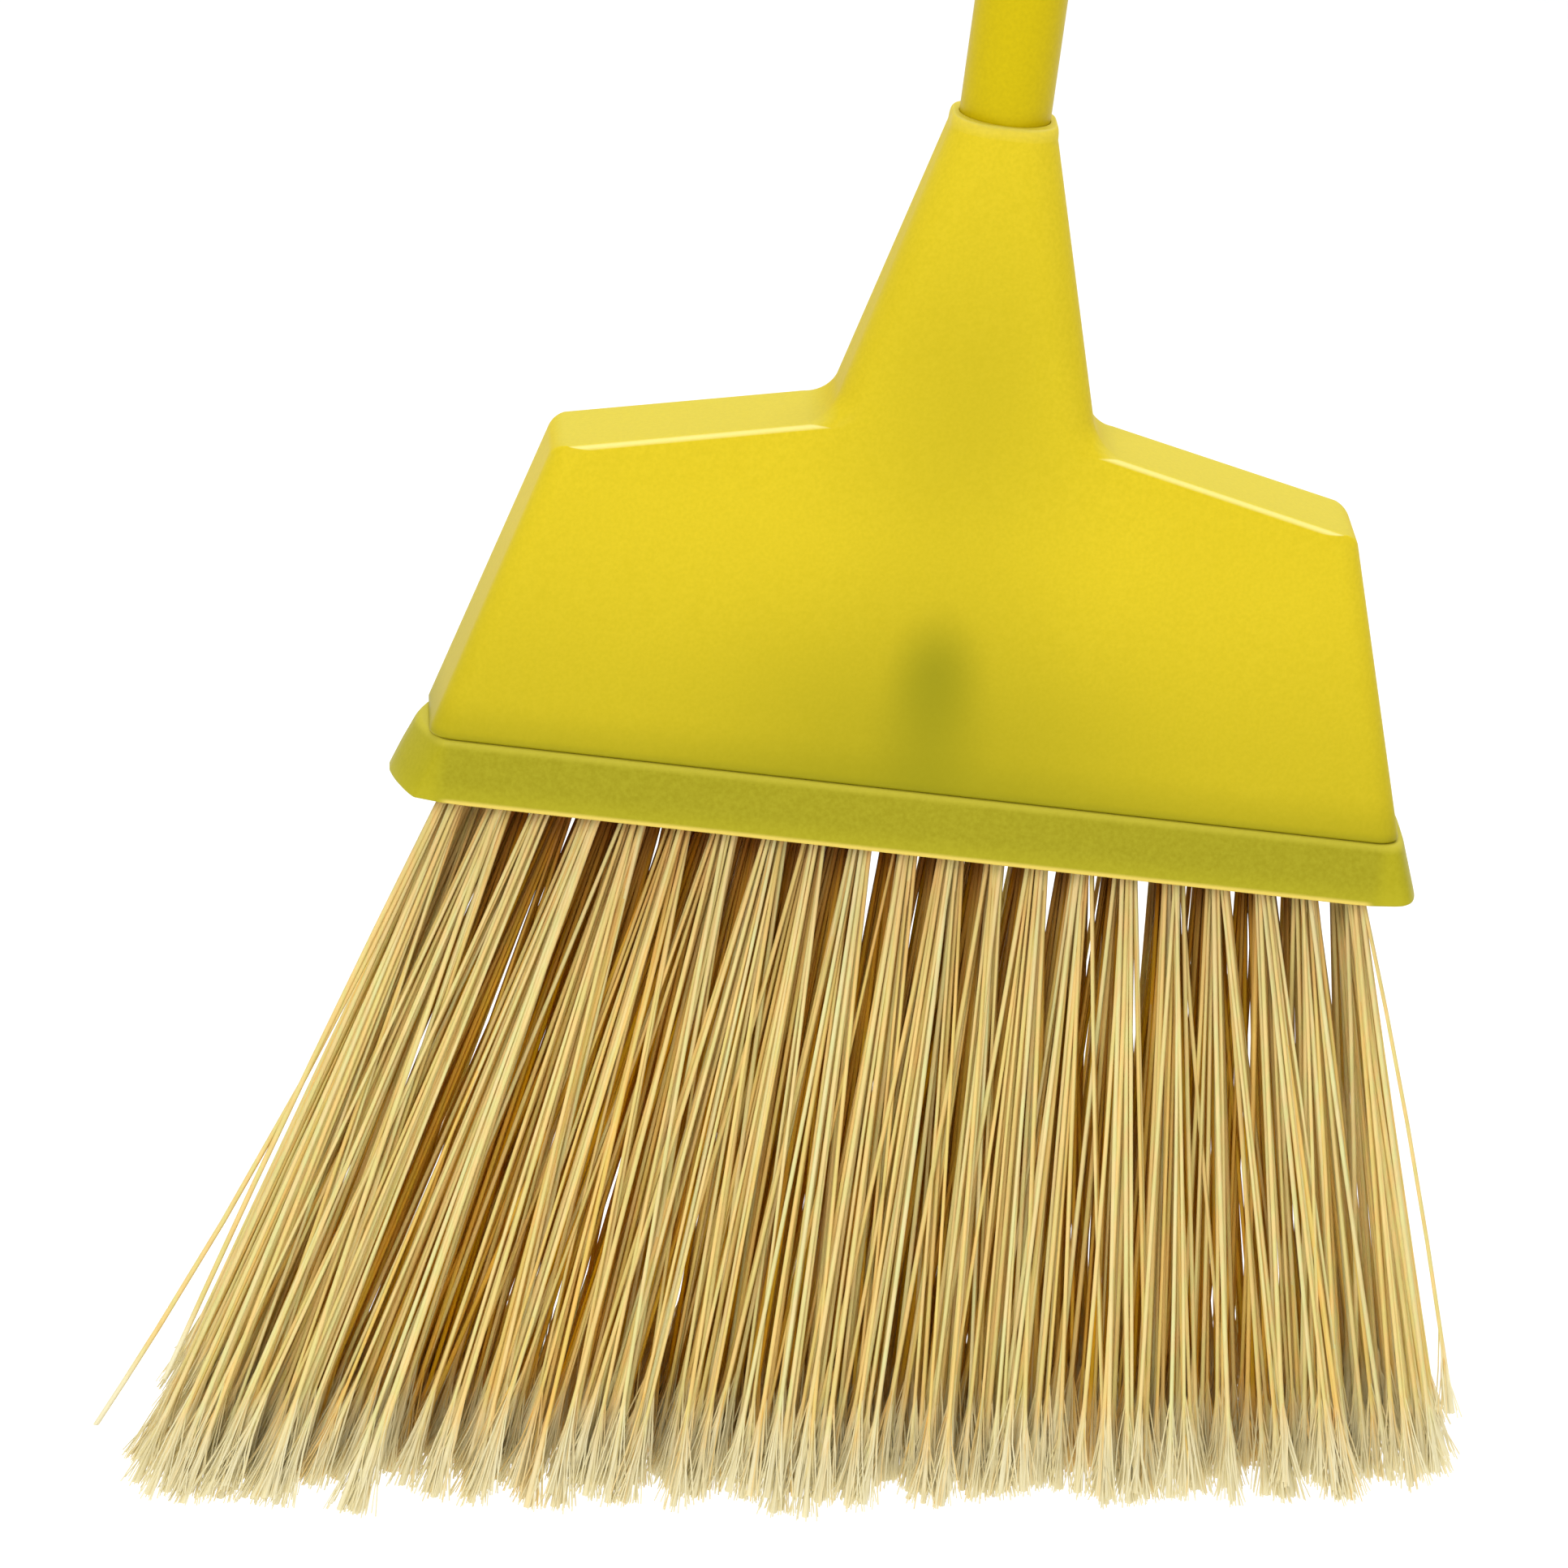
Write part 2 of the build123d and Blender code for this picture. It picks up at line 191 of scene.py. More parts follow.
def round_rings(height, radius, angle):
    """Rings about the handle axis: cosine and sine of each column's angle times the radius."""
    height, radius = [np.atleast_1d(size)[:, None] for size in np.broadcast_arrays(height, radius)]
    return stacked(radius * np.cos(angle), radius * np.sin(angle), height)


def quarter_turn(steps):
    """Sine and one less cosine over a quarter turn: how far a round edge has risen and drawn in."""
    turn = np.linspace(0, np.pi / 2, steps + 1)
    return np.sin(turn), 1 - np.cos(turn)


# %% [markdown]
# ## Head cap
# The yellow cap is one hollow injection moulding: flat front and back, leaning ends, shoulders that
# climb gently and a neck that narrows to the handle. It could be a box model under a Subdivision
# Surface, but the shoulder's edge is much tighter than the corner of the ends, and subdivision blurs
# such a change. So its side view is drawn as a path with two true arcs, and a level outline is set at
# every station of that path. The surface then runs over the lip, down the socket for the handle, and
# back along the inside wall.

# %% The cap's side view
cap_low, cap_high = node_box("head_cap")
block_high = node_box("bristle_block")[1]
seam = cap_low[2]
mouth = cap_high[2]
CAP_CORNER = 6.0
SHOULDER_HALF_LENGTH = 98.4
SHOULDER_ABOVE_SEAM = 75.7
SHOULDER_CLIMB = np.tan(np.radians(12.2))
SHOULDER_CORNER = 5.0
SHOULDER_EDGE = 2.0
NECK_ROOT_HALF_LENGTH = 32.7
NECK_ROOT_CORNER = 10.0
NECK_ROOT_EDGE = 9.0
LIP_HALF_LENGTH = 13.2
LIP_HALF_DEPTH = 14.05
LIP_CORNER = 10.5
LIP_ROUND = np.array([0.9, 1.9, 3.6])
CAP_FOOT_ROUND = 1.0


def corner_arc(corner, before, after, radius, steps=14):
    """The arc that rounds a corner: from its first spoke, it turns towards the way the path came."""
    before = before / np.linalg.norm(before)
    after = after / np.linalg.norm(after)
    turn = np.arccos(before @ after)
    inward = (after - before) / np.linalg.norm(after - before)
    centre = corner + inward * radius / np.cos(turn / 2)
    spoke = corner - before * radius * np.tan(turn / 2) - centre
    swing = np.linspace(0, turn, steps + 1)[:, None]
    return centre + spoke * np.cos(swing) + before * radius * np.sin(swing)


cap_foot = np.array([cap_high[0], seam + CAP_FOOT_ROUND])
shoulder = np.array([SHOULDER_HALF_LENGTH, seam + SHOULDER_ABOVE_SEAM])
root_rise = (SHOULDER_HALF_LENGTH - NECK_ROOT_HALF_LENGTH) * SHOULDER_CLIMB
neck_root = np.array([NECK_ROOT_HALF_LENGTH, shoulder[1] + root_rise])
lip_foot = np.array([LIP_HALF_LENGTH, mouth - LIP_ROUND[2]])
shoulder_arc = corner_arc(shoulder, shoulder - cap_foot, neck_root - shoulder, SHOULDER_CORNER)
root_arc = corner_arc(neck_root, neck_root - shoulder, lip_foot - neck_root, NECK_ROOT_CORNER)
side_view = np.vstack([cap_foot, shoulder_arc, root_arc, lip_foot])

edge_run = SHOULDER_EDGE / SHOULDER_CLIMB
corner_rounds = np.vstack(
    [
        [[CAP_CORNER, CAP_CORNER]],
        np.linspace([CAP_CORNER, CAP_CORNER], [edge_run, SHOULDER_EDGE], len(shoulder_arc)),
        np.linspace([edge_run, SHOULDER_EDGE], [NECK_ROOT_EDGE, NECK_ROOT_EDGE], len(root_arc)),
        [[LIP_CORNER, LIP_CORNER]],
    ]
)
print("the shoulder's edge is", SHOULDER_EDGE, "mm round and the end's corner", CAP_CORNER, "mm")

# %% The cap's surface
STATION_SPACING = 1.6
CAP_WALL = 2.2
SOCKET_WALL = 2.0
LIP_INNER_ROUND = 0.1
MOUTH_GAP = 0.1
MOUTH_CORNER = 11.0
MOUTH_DEPTH = 0.3
HANDLE_CLEARANCE = 0.35
THREAD_RADIUS = 9.525
THREAD_CLEARANCE = 0.2
COLLAR_HEIGHT = 3.0
SOCKET_BELOW_TIP = 1.0
# Painted highlight: its UV value where the lip starts, what the lip's rise adds, and the extra round over
# which it fades on the shoulders
HIGHLIGHT_START = 0.6
LIP_HIGHLIGHT = 0.08
HIGHLIGHT_FADE = 1.5
tip_low, tip_high = node_box("threaded_tip")
sleeve_low, sleeve_high = node_box("handle_sleeve")
handle_radius = sleeve_high[0]
socket_foot = tip_low[2] - SOCKET_BELOW_TIP
ledge = sleeve_low[2] - COLLAR_HEIGHT


def along_path(path, values, spacing):
    """Evenly spaced stations of a path, its own points kept, with other values carried along."""
    length = np.concatenate([[0], np.cumsum(np.linalg.norm(np.diff(path, axis=0), axis=1))])
    stations = np.union1d(length, np.arange(0, length[-1], spacing))
    table = np.hstack([path, values])
    return np.stack([np.interp(stations, length, column) for column in table.T])


def cap_half_depth(height):
    """Front and back lean straight in, from the seam up to the mouth."""
    return cap_high[1] + (LIP_HALF_DEPTH - cap_high[1]) * (height - seam) / (mouth - seam)


def make_cap():
    """Outer skin, lip, socket for the handle, bore for its thread, socket wall, ceiling and inside wall. The
    first value of its UV marks where a highlight is painted: it peaks half way round the shoulders' corners,
    and it grows with the rise of the lip."""
    columns = outline_columns(corner_steps=9, long_steps=48, short_steps=12)
    rise, draw = quarter_turn(steps=4)
    foot_z = seam + CAP_FOOT_ROUND * draw[:-1]
    inset = CAP_FOOT_ROUND * (1 - rise[:-1])
    foot_depth = cap_half_depth(foot_z) - inset
    foot_corner = CAP_CORNER - inset
    foot = level_rings(foot_z, cap_foot[0] - inset, foot_depth, foot_corner, foot_corner, columns)
    x, z, run, edge = along_path(side_view, corner_rounds, STATION_SPACING)
    skin = level_rings(z, x, cap_half_depth(z), run, edge, columns)
    grow = np.append(LIP_INNER_ROUND * (1 - rise), 0)
    open_z = np.append(mouth - LIP_INNER_ROUND * draw, mouth - MOUTH_DEPTH)
    open_size = handle_radius + MOUTH_GAP + grow
    open_corner = MOUTH_CORNER + grow
    opening = level_rings(open_z, open_size, open_size, open_corner, open_corner, columns)
    rise, draw = quarter_turn(steps=8)
    draw_x, draw_y, draw_z = LIP_ROUND
    lip_z = lip_foot[1] + draw_z * rise
    lip_length = LIP_HALF_LENGTH - draw_x * draw
    lip_depth = cap_half_depth(mouth - draw_z) - draw_y * draw
    lip_rounds = (LIP_CORNER - draw_x * draw, LIP_CORNER - draw_y * draw)
    lip = level_rings(lip_z, lip_length, lip_depth, *lip_rounds, columns)
    angle = np.arctan2(opening[-1, :, 1], opening[-1, :, 0])
    bore = handle_radius + HANDLE_CLEARANCE
    thread_bore = THREAD_RADIUS + THREAD_CLEARANCE
    ceiling = shoulder[1] - CAP_WALL
    socket_z = [mouth - MOUTH_DEPTH, ledge, ledge, socket_foot, socket_foot, ceiling]
    socket_r = [bore, bore, thread_bore, thread_bore, bore + SOCKET_WALL, bore + SOCKET_WALL]
    socket = round_rings(socket_z, socket_r, angle)
    wall_z = np.array([ceiling, seam])
    wall_x = np.interp(wall_z, [seam, shoulder[1]], [cap_high[0], SHOULDER_HALF_LENGTH]) - CAP_WALL
    wall = level_rings(wall_z, wall_x, cap_half_depth(wall_z) - CAP_WALL, CAP_CORNER, CAP_CORNER, columns)
    rings = np.concatenate([foot, skin, lip[1:], opening, socket, wall])
    # UV marks for the painted highlight on the shoulders' edges and up the lip
    painted_highlight = np.zeros(rings.shape[:2] + (2,))
    tightness = np.clip(1 - (edge - SHOULDER_EDGE) / HIGHLIGHT_FADE, 0, 1)
    lip_start = len(foot) + len(skin)
    lip_end = lip_start + len(lip) - 1
    painted_highlight[len(foot) : lip_start, :, 0] = tightness[:, None] * np.abs(2 * columns[1] * columns[3])
    painted_highlight[lip_start:lip_end, :, 0] = HIGHLIGHT_START + LIP_HIGHLIGHT * rise[1:, None]
    return put_piece("cap_moulding", rings, stack_faces(rings, looped=True), uv=painted_highlight)


cap = make_cap()
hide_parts("head_cap")
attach(cap, "head")

# %% [markdown]
# ## Rim and tuft plate
# Below the cap sits a second moulding. Its rim flares a little towards its foot and shows as an olive
# band with a dark joint line above it. Its ends are bowed and lift a little at the foot: the left one
# is drawn out to a blunt point, and the right one is squarer. Inside, a plate holds the tufts and a low
# wall stands up into the cap. All of that is again a stack of level outlines, read from the plate's
# underside outwards, round the rim, and over the inner wall to the plate's top.

# %% The rim's surface
RIM_LEDGE = np.array([1.8, 0.8])
RIM_END_BOW = 6.0
RIM_END_FLAT = 4.0
RIM_END_POWERS = (1.5, 0.6)
RIM_END_START = 110.0
RIM_END_RUN = 14.0
RIM_END_LIFT = 1.2
RIM_LEFT_DRAW = 1.2
RIM_WALL = 2.2
RIM_FOOT_ROUND = np.array([1.0, 0.7, 1.0])
RIM_TOP_ROUND = np.array([0.9, 0.7, 1.8])
RIM_FACE_RINGS = 6
SKIRT_FOOT = 0.8
PLATE_THICKNESS = 7.0
UPSTAND_INSET = 2.45
UPSTAND_WALL = 2.0
rim_top_size = cap_high[:2] + RIM_LEDGE
rim_foot_size = block_high[:2]


def rim_columns():
    """Outline columns whose ends differ: cosine and sine to a power over 1 make the left end a blunt point,
    and to one under 1 they make the right end squarer."""
    along_x, arc_x, along_y, arc_y = outline_columns(corner_steps=18, long_steps=40, short_steps=4)
    power = np.where(along_x > 0, RIM_END_POWERS[1], RIM_END_POWERS[0])
    arc_x, arc_y = [np.sign(arc) * np.abs(arc) ** power for arc in (arc_x, arc_y)]
    return np.stack([along_x, arc_x, along_y, arc_y])


def rim_rings(height, inset_x, inset_y, columns):
    """Rings of the flaring rim, drawn in by insets. Its ends are bowed: their rounds nearly fill the depth.
    Towards the ends, by the square of the way there, the foot lifts and the left end is drawn out."""
    height, inset_x, inset_y = np.broadcast_arrays(np.asarray(height, float), inset_x, inset_y)
    half_length = np.interp(height, [0, seam], [rim_foot_size[0], rim_top_size[0]]) - inset_x
    half_depth = np.interp(height, [0, seam], [rim_foot_size[1], rim_top_size[1]]) - inset_y
    rounds = (RIM_END_BOW - inset_x, half_depth - RIM_END_FLAT / 2)
    rings = level_rings(height, half_length, half_depth, *rounds, columns)
    toward_end = np.clip((np.abs(rings[..., 0]) - RIM_END_START) / RIM_END_RUN, 0, 1) ** 2
    rings[..., 0] -= RIM_LEFT_DRAW * toward_end * (rings[..., 0] < 0)
    rings[..., 2] += RIM_END_LIFT * toward_end * (1 - rings[..., 2] / seam)
    return rings


def make_block():
    """Plate underside, skirt, round foot, flaring face, round top, ledge, upstand and tray."""
    columns = rim_columns()
    rise, draw = quarter_turn(steps=5)
    plate_foot = seam - PLATE_THICKNESS
    foot_x, foot_y, foot_z = RIM_FOOT_ROUND
    top_x, top_y, top_z = RIM_TOP_ROUND
    skirt = rim_rings([plate_foot, SKIRT_FOOT], RIM_WALL, RIM_WALL, columns)
    foot = rim_rings(foot_z * draw, foot_x * (1 - rise), foot_y * (1 - rise), columns)
    face = rim_rings(np.linspace(foot_z, seam - top_z, RIM_FACE_RINGS), 0, 0, columns)
    top = rim_rings(seam - top_z * (1 - rise), top_x * draw, top_y * draw, columns)
    taper = (cap_high[0] - SHOULDER_HALF_LENGTH) / SHOULDER_ABOVE_SEAM
    upstand_z = np.array([seam, block_high[2], block_high[2], seam])
    inset = UPSTAND_INSET + np.array([0, 0, UPSTAND_WALL, UPSTAND_WALL])
    upstand_x = cap_high[0] - taper * (upstand_z - seam) - inset
    upstand_y = cap_half_depth(upstand_z) - inset
    upstand = level_rings(upstand_z, upstand_x, upstand_y, CAP_CORNER, CAP_CORNER, columns)
    rings = np.concatenate([skirt, foot, face[1:-1], top, upstand])
    return put_piece("rim_moulding", rings, stack_faces(rings))


block = make_block()
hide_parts("bristle_block")
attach(block, "head")

# %% [markdown]
# ## Bristles
# The bristles are drawn plastic fibres, set as tufts in four staggered rows that fan out to the ends
# and trimmed on a slant. Their tips are flagged: each end is split into fine hairs, like a paint brush.
# Blender's hair would be the usual tool, but it doesn't export as a mesh. Here each fibre is a thin
# tube of a few rings, all fibres of a row worked out at once as arrays. The fibres of a tuft keep
# together in small clumps, and that is what makes the ribbons and the gaps between them.

# %% Where the tufts stand
TUFT_PITCH = 10.6
ROW_SKEW = 0.4
ROW_STRETCH = [(-60.0, 40.0), (0.0, 3.0)]
TUFT_HOLE_RADIUS = 3.1
STRIP_SLICE = 0.1
FIBRE_SPACING = 0.84
CLUMPS = 6
ROW_NAMES = ["front", "mid_front", "mid_back", "back"]


def row_strip(name):
    """Middle depth, half length, half width and top of the melted strip on a CAD row, from its own points."""
    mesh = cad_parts[f"bristle_row_{name}"].data
    points = np.empty(3 * len(mesh.vertices), np.float32)
    mesh.vertices.foreach_get("co", points)
    points = (points.reshape(-1, 3) - [0, 0, rim_foot]) / MM
    strip = points[points[:, 2] > points[:, 2].max() - STRIP_SLICE]
    low, high = strip.min(axis=0), strip.max(axis=0)
    return (low[1] + high[1]) / 2, high[0], (high[1] - low[1]) / 2, high[2]


strips = {name: row_strip(name) for name in ROW_NAMES}
outer_row = abs(strips["front"][0])
outer_tuft = strips["front"][1] - TUFT_HOLE_RADIUS


def tuft_places(row):
    """Places along a row at the pitch, every second row shifted by half of it, which grows along the row, and
    each row a little further on. So the rows hide their gaps at one end and leave slits at the other."""
    shift = 0.5 * (row % 2)
    count = 2 * int(np.round(outer_tuft / TUFT_PITCH - shift)) + 1 + row % 2
    places = TUFT_PITCH * (np.arange(count) - (count - 1) / 2)
    return places + ROW_SKEW * (row + 1) + (row % 2) * np.interp(places, *ROW_STRETCH)


def tuft_pattern():
    """One fibre in the middle, six round it and twelve round those, and the clump that each is in."""
    ring = np.concatenate([[0], np.full(6, 1), np.full(12, 2)])
    turn = np.concatenate([[0], np.arange(6) / 6, np.arange(12) / 12])
    spots = ring[:, None] * np.stack([np.cos(2 * np.pi * turn), np.sin(2 * np.pi * turn)], axis=-1)
    return spots * FIBRE_SPACING, (turn * CLUMPS).astype(int)


fibre_spots, fibre_clump = tuft_pattern()
print(sum(len(tuft_places(row)) for row in range(len(ROW_NAMES))), "tufts of", len(fibre_spots), "fibres")

# %% How far the fibres stray
TUFT_WANDER = 1.8
CLUMP_SPREAD = 5.2
CLUMP_OPENING = (0.5, 1.2)
CLUMP_WANDER = 3.2
FIBRE_WANDER = 5.6
WILD_SHARE = 0.28
WILD_WANDER = 8.0
DRIFT_LIMIT = np.array([18.0, 12.0])
END_LIMIT = [(-106.0, -80.0, 80.0, 106.0), (5.0, 18.0, 18.0, 2.2)]
ROW_DRAW_IN = [(-106.0, -80.0), (2.3, 0.0)]


def fibre_drift(x, row, rng):
    """How far each fibre of the tufts at x has strayed at its tip: with its clump, which opens out of the
    tuft, with the whole tuft, and alone. It stays within limits, which are tightest at the ends and, at the
    left end, in the rows behind."""
    tufts, fibres = len(x), len(fibre_spots)
    clump_middle = np.array([fibre_spots[fibre_clump == clump].mean(axis=0) for clump in range(CLUMPS)])
    drift = clump_middle * CLUMP_SPREAD * rng.uniform(*CLUMP_OPENING, (tufts, CLUMPS, 1))
    drift = drift + rng.normal(0, CLUMP_WANDER, (tufts, CLUMPS, 2))
    drift = drift[:, fibre_clump] + rng.normal(0, TUFT_WANDER, (tufts, 1, 2))
    wander = np.where(rng.random((tufts, fibres, 1)) < WILD_SHARE, WILD_WANDER, FIBRE_WANDER)
    drift = np.clip(drift + wander * rng.normal(0, 1, (tufts, fibres, 2)), -DRIFT_LIMIT, DRIFT_LIMIT)
    outward = (np.interp(x, *END_LIMIT) - row * np.interp(x, *ROW_DRAW_IN))[:, None]
    left = np.maximum(drift[..., 0], -outward)
    right = np.minimum(drift[..., 0], outward)
    drift[..., 0] = np.where(x[:, None] < 0, left, right)
    return drift


# %% How the fibres run
FIBRE_STATIONS = np.array([0.0, 0.12, 0.3, 0.5, 0.7, 0.86, 0.94, 1.0])
TUFT_SHIFT = 0.45
TUFT_FULLNESS = [(0.92, 1.15), (0.55, 0.8), (0.55, 0.8), (0.55, 0.8)]
SPOT_SCATTER = 0.12
FAN_SET = [
    (-110.0, -85.0, -60.0, -35.0, 0.0, 30.0, 60.0, 85.0, 98.0, 110.0),
    (-16.5, -15.0, -11.0, -5.5, -0.5, 1.8, 6.5, 10.3, 13.2, 16.2),
]
LEAN_SLOPE = np.tan(np.radians(6.5))
TRIM_SLOPE = np.tan(np.radians(6.1))
TRIM_LENGTH = 162.2
CLUMP_RAGGED = 1.7
FIBRE_RAGGED = 0.35
TIP_WEAR = [(74.0, 88.0), (1.6, 5.2)]
FIBRE_BOW = 2.0
SPREAD_POWER = 1.1
ROOT_RISE = 1.0


def fibre_paths(row, rng):
    """Middle lines of all fibres of a row: each a straight line that leans with its place on the plate, plus
    its drift, plus a bow, the square of the way down less the way itself. The cut is the slanted trim."""
    x = tuft_places(row)
    x = x + rng.normal(0, TUFT_SHIFT, len(x))
    y = strips[ROW_NAMES[row]][0]
    tufts, fibres = len(x), len(fibre_spots)
    spots = fibre_spots * rng.uniform(*TUFT_FULLNESS[row], (tufts, 1, 1))
    spots = spots + rng.normal(0, SPOT_SCATTER, (tufts, fibres, 2))
    drift = fibre_drift(x, row, rng)
    roots = np.stack([x[:, None] + spots[..., 0], y + spots[..., 1]], axis=-1)
    fan = np.tan(np.radians(np.interp(x, *FAN_SET)))
    lean = np.stack([fan, np.full_like(x, LEAN_SLOPE * y / outer_row)], axis=-1)
    drop = (seam + TRIM_LENGTH - TRIM_SLOPE * roots[..., 0]) / (1 + TRIM_SLOPE * lean[:, None, 0])
    ragged = rng.normal(0, CLUMP_RAGGED, (tufts, CLUMPS))[:, fibre_clump]
    drop = drop + ragged + rng.normal(0, FIBRE_RAGGED, (tufts, fibres)) - np.interp(x, *TIP_WEAR)[:, None]
    bow = rng.normal(0, FIBRE_BOW, (tufts, fibres, 2))
    share = FIBRE_STATIONS[:, None]
    across = roots[:, :, None] + (lean[:, None] * drop[..., None])[:, :, None] * share
    across = across + drift[:, :, None] * share**SPREAD_POWER + bow[:, :, None] * (share**2 - share)
    height = seam + ROOT_RISE - (drop[..., None] + ROOT_RISE) * FIBRE_STATIONS
    return np.concatenate([across, height[..., None]], axis=-1).reshape(-1, len(FIBRE_STATIONS), 3)


# %% Tubes along paths
def tubes(paths, radius, sides):
    """Level rings of a few sides round every path, closed by a face at both ends: points and face arrays."""
    count, stations = radius.shape
    turn = 2 * np.pi * np.arange(sides) / sides
    ring = stacked(np.cos(turn), np.sin(turn), 0.0)
    points = paths[:, :, None] + radius[:, :, None, None] * ring
    quads = grid_faces(stations, sides)[:, ::-1]
    first = np.arange(count)[:, None] * stations * sides
    walls = (first[:, None] + quads).reshape(-1, 4)
    tops = first + np.arange(sides)
    ends = first + (stations - 1) * sides + np.arange(sides)[::-1]
    return points.reshape(-1, 3), [walls, np.concatenate([tops, ends])]


def tube_shares(depth_shade_tint, way, sides):
    """Depth for painted shade and way down at every point of a set of tubes: each ring's pair, once for each
    of its sides.
    """
    pairs = np.stack(np.broadcast_arrays(depth_shade_tint[:, None], way), axis=-1)
    return np.repeat(pairs, sides, axis=1).reshape(-1, 2)


# %% Flagged tips and stray fibres
HAIRS_PER_FIBRE = 20
HAIR_STATIONS = np.array([0.0, 0.5, 1.0])
HAIR_START = (0.84, 0.92)
HAIR_END_SCATTER = (0.5, 0.5, 0.3)
HAIR_FLARE = 4.4
HAIR_LIFT = 0.03
FLARE_POWER = 1.4
HAIR_CROOK = (0.45, 0.45, 0.2)
STRAY_PATHS = np.array(
    [
        [(107.5, -12.0, 16.0), (131.8, -23.0, -54.0), (152.3, -34.0, -124.0)],
        [(-109.0, -12.0, 16.0), (-140.5, -24.0, -74.5), (-180.8, -35.0, -165.0)],
        [(-109.0, -12.0, 16.0), (-138.3, -24.0, -67.5), (-165.3, -35.0, -151.0)],
    ]
)


def point_along(paths, share):
    """The point of every path at a share of its way, on the straight line between its stations."""
    after = np.clip(np.searchsorted(FIBRE_STATIONS, share), 1, len(FIBRE_STATIONS) - 1)
    low, high = FIBRE_STATIONS[after - 1], FIBRE_STATIONS[after]
    mix = ((share - low) / (high - low))[:, None]
    index = np.arange(len(paths))
    return paths[index, after - 1] * (1 - mix) + paths[index, after] * mix


def hair_paths(paths, rng):
    """Fine hairs of a split tip: each leaves its fibre a little before the end and curls outwards from it."""
    owners = np.repeat(np.arange(len(paths)), HAIRS_PER_FIBRE)
    owned = paths[owners]
    start = point_along(owned, rng.uniform(*HAIR_START, len(owners)))
    end = owned[:, -1] + rng.normal(0, HAIR_END_SCATTER, (len(owners), 3))
    turn = rng.uniform(0, 2 * np.pi, len(owners))
    reach = HAIR_FLARE * np.sqrt(rng.random(len(owners)))
    flare = stacked(reach * np.cos(turn), reach * np.sin(turn), HAIR_LIFT * reach)
    crook = rng.normal(0, HAIR_CROOK, (len(owners), 3))
    share = HAIR_STATIONS[:, None]
    hairs = start[:, None] + (end - start)[:, None] * share + flare[:, None] * share**FLARE_POWER
    return hairs + crook[:, None] * 4 * share * (1 - share), owners


def stray_paths():
    """A few fibres that stand off the ends: the parabola through three places."""
    share = FIBRE_STATIONS[:, None]
    a, b, c = [STRAY_PATHS[:, None, i] for i in range(3)]
    return a * (1 - share) * (1 - 2 * share) + b * 4 * share * (1 - share) + c * share * (2 * share - 1)


# %% Rows of tufts
FIRST_SEED = 40
FIBRE_SIDES = 5
FIBRE_RADIUS = (0.44, 0.7)
FLAG_START = 0.87
TIP_SWELL = 1.7
STRAY_RADIUS = 0.75
STRAY_SHADE_TINT = 0.7
FLAGGED_STRAYS = 1
HAIR_SIDES = 3
HAIR_RADIUS = 0.17
HAIR_UNEVEN = (0.75, 1.2)
HAIR_TAPER = np.array([1.2, 1.15, 1.1])
HAIR_WAY = np.array([0.88, 0.94, 1.0])
HAIR_TINT_SCATTER = 0.2
# Painted depth shade: where along the row and among the rows a fibre counts as outside, and its random
# scatter
END_SHADE_TINT = [(0.8, 0.93), (0.0, 0.9)]
PLACE_SHADE_TINT = [(0.2, 1.0), (0.06, 0.8)]
TINT_SCATTER = 0.11
STRIP_CORNER = 1.5
STRIP_EDGE = 1.0
STRIP_SWELL = 0.3
STRIP_SHARES = (0.4, 0.0)


def melted_strip(name):
    """The tuft ends melted into one bar on the plate: level outlines, with a soft swell over every tuft."""
    middle, half_length, half_width, top = strips[name]
    columns = outline_columns(corner_steps=4, long_steps=120, short_steps=4)
    rise, draw = quarter_turn(steps=4)
    height = np.concatenate([[seam], top - STRIP_EDGE + STRIP_EDGE * rise])
    inset = np.concatenate([[0], STRIP_EDGE * draw])
    corner = STRIP_CORNER - inset
    rings = level_rings(height, half_length - inset, half_width - inset, corner, corner, columns)
    rings[1:, :, 2] -= STRIP_SWELL - STRIP_SWELL * np.cos(2 * np.pi * rings[1:, :, 0] / TUFT_PITCH)
    rings[..., 1] += middle
    return rings.reshape(-1, 3), stack_faces(rings)


def depth_shade_tints(paths, rng):
    """From 0, deep inside the brush, to 1 on its outside, which sets painted shade: how far out of the middle
    a fibre stands, among the rows or along its own, with a little random scatter."""
    from_middle = np.abs(paths[:, 0])
    among_rows = from_middle[:, 1] / (outer_row + 2 * FIBRE_SPACING)
    along_row = np.interp(from_middle[:, 0] / outer_tuft, *END_SHADE_TINT)
    depth_shade_tint = np.interp(np.maximum(among_rows, along_row), *PLACE_SHADE_TINT)
    return np.clip(depth_shade_tint + rng.normal(0, TINT_SCATTER, len(paths)), 0, 1)


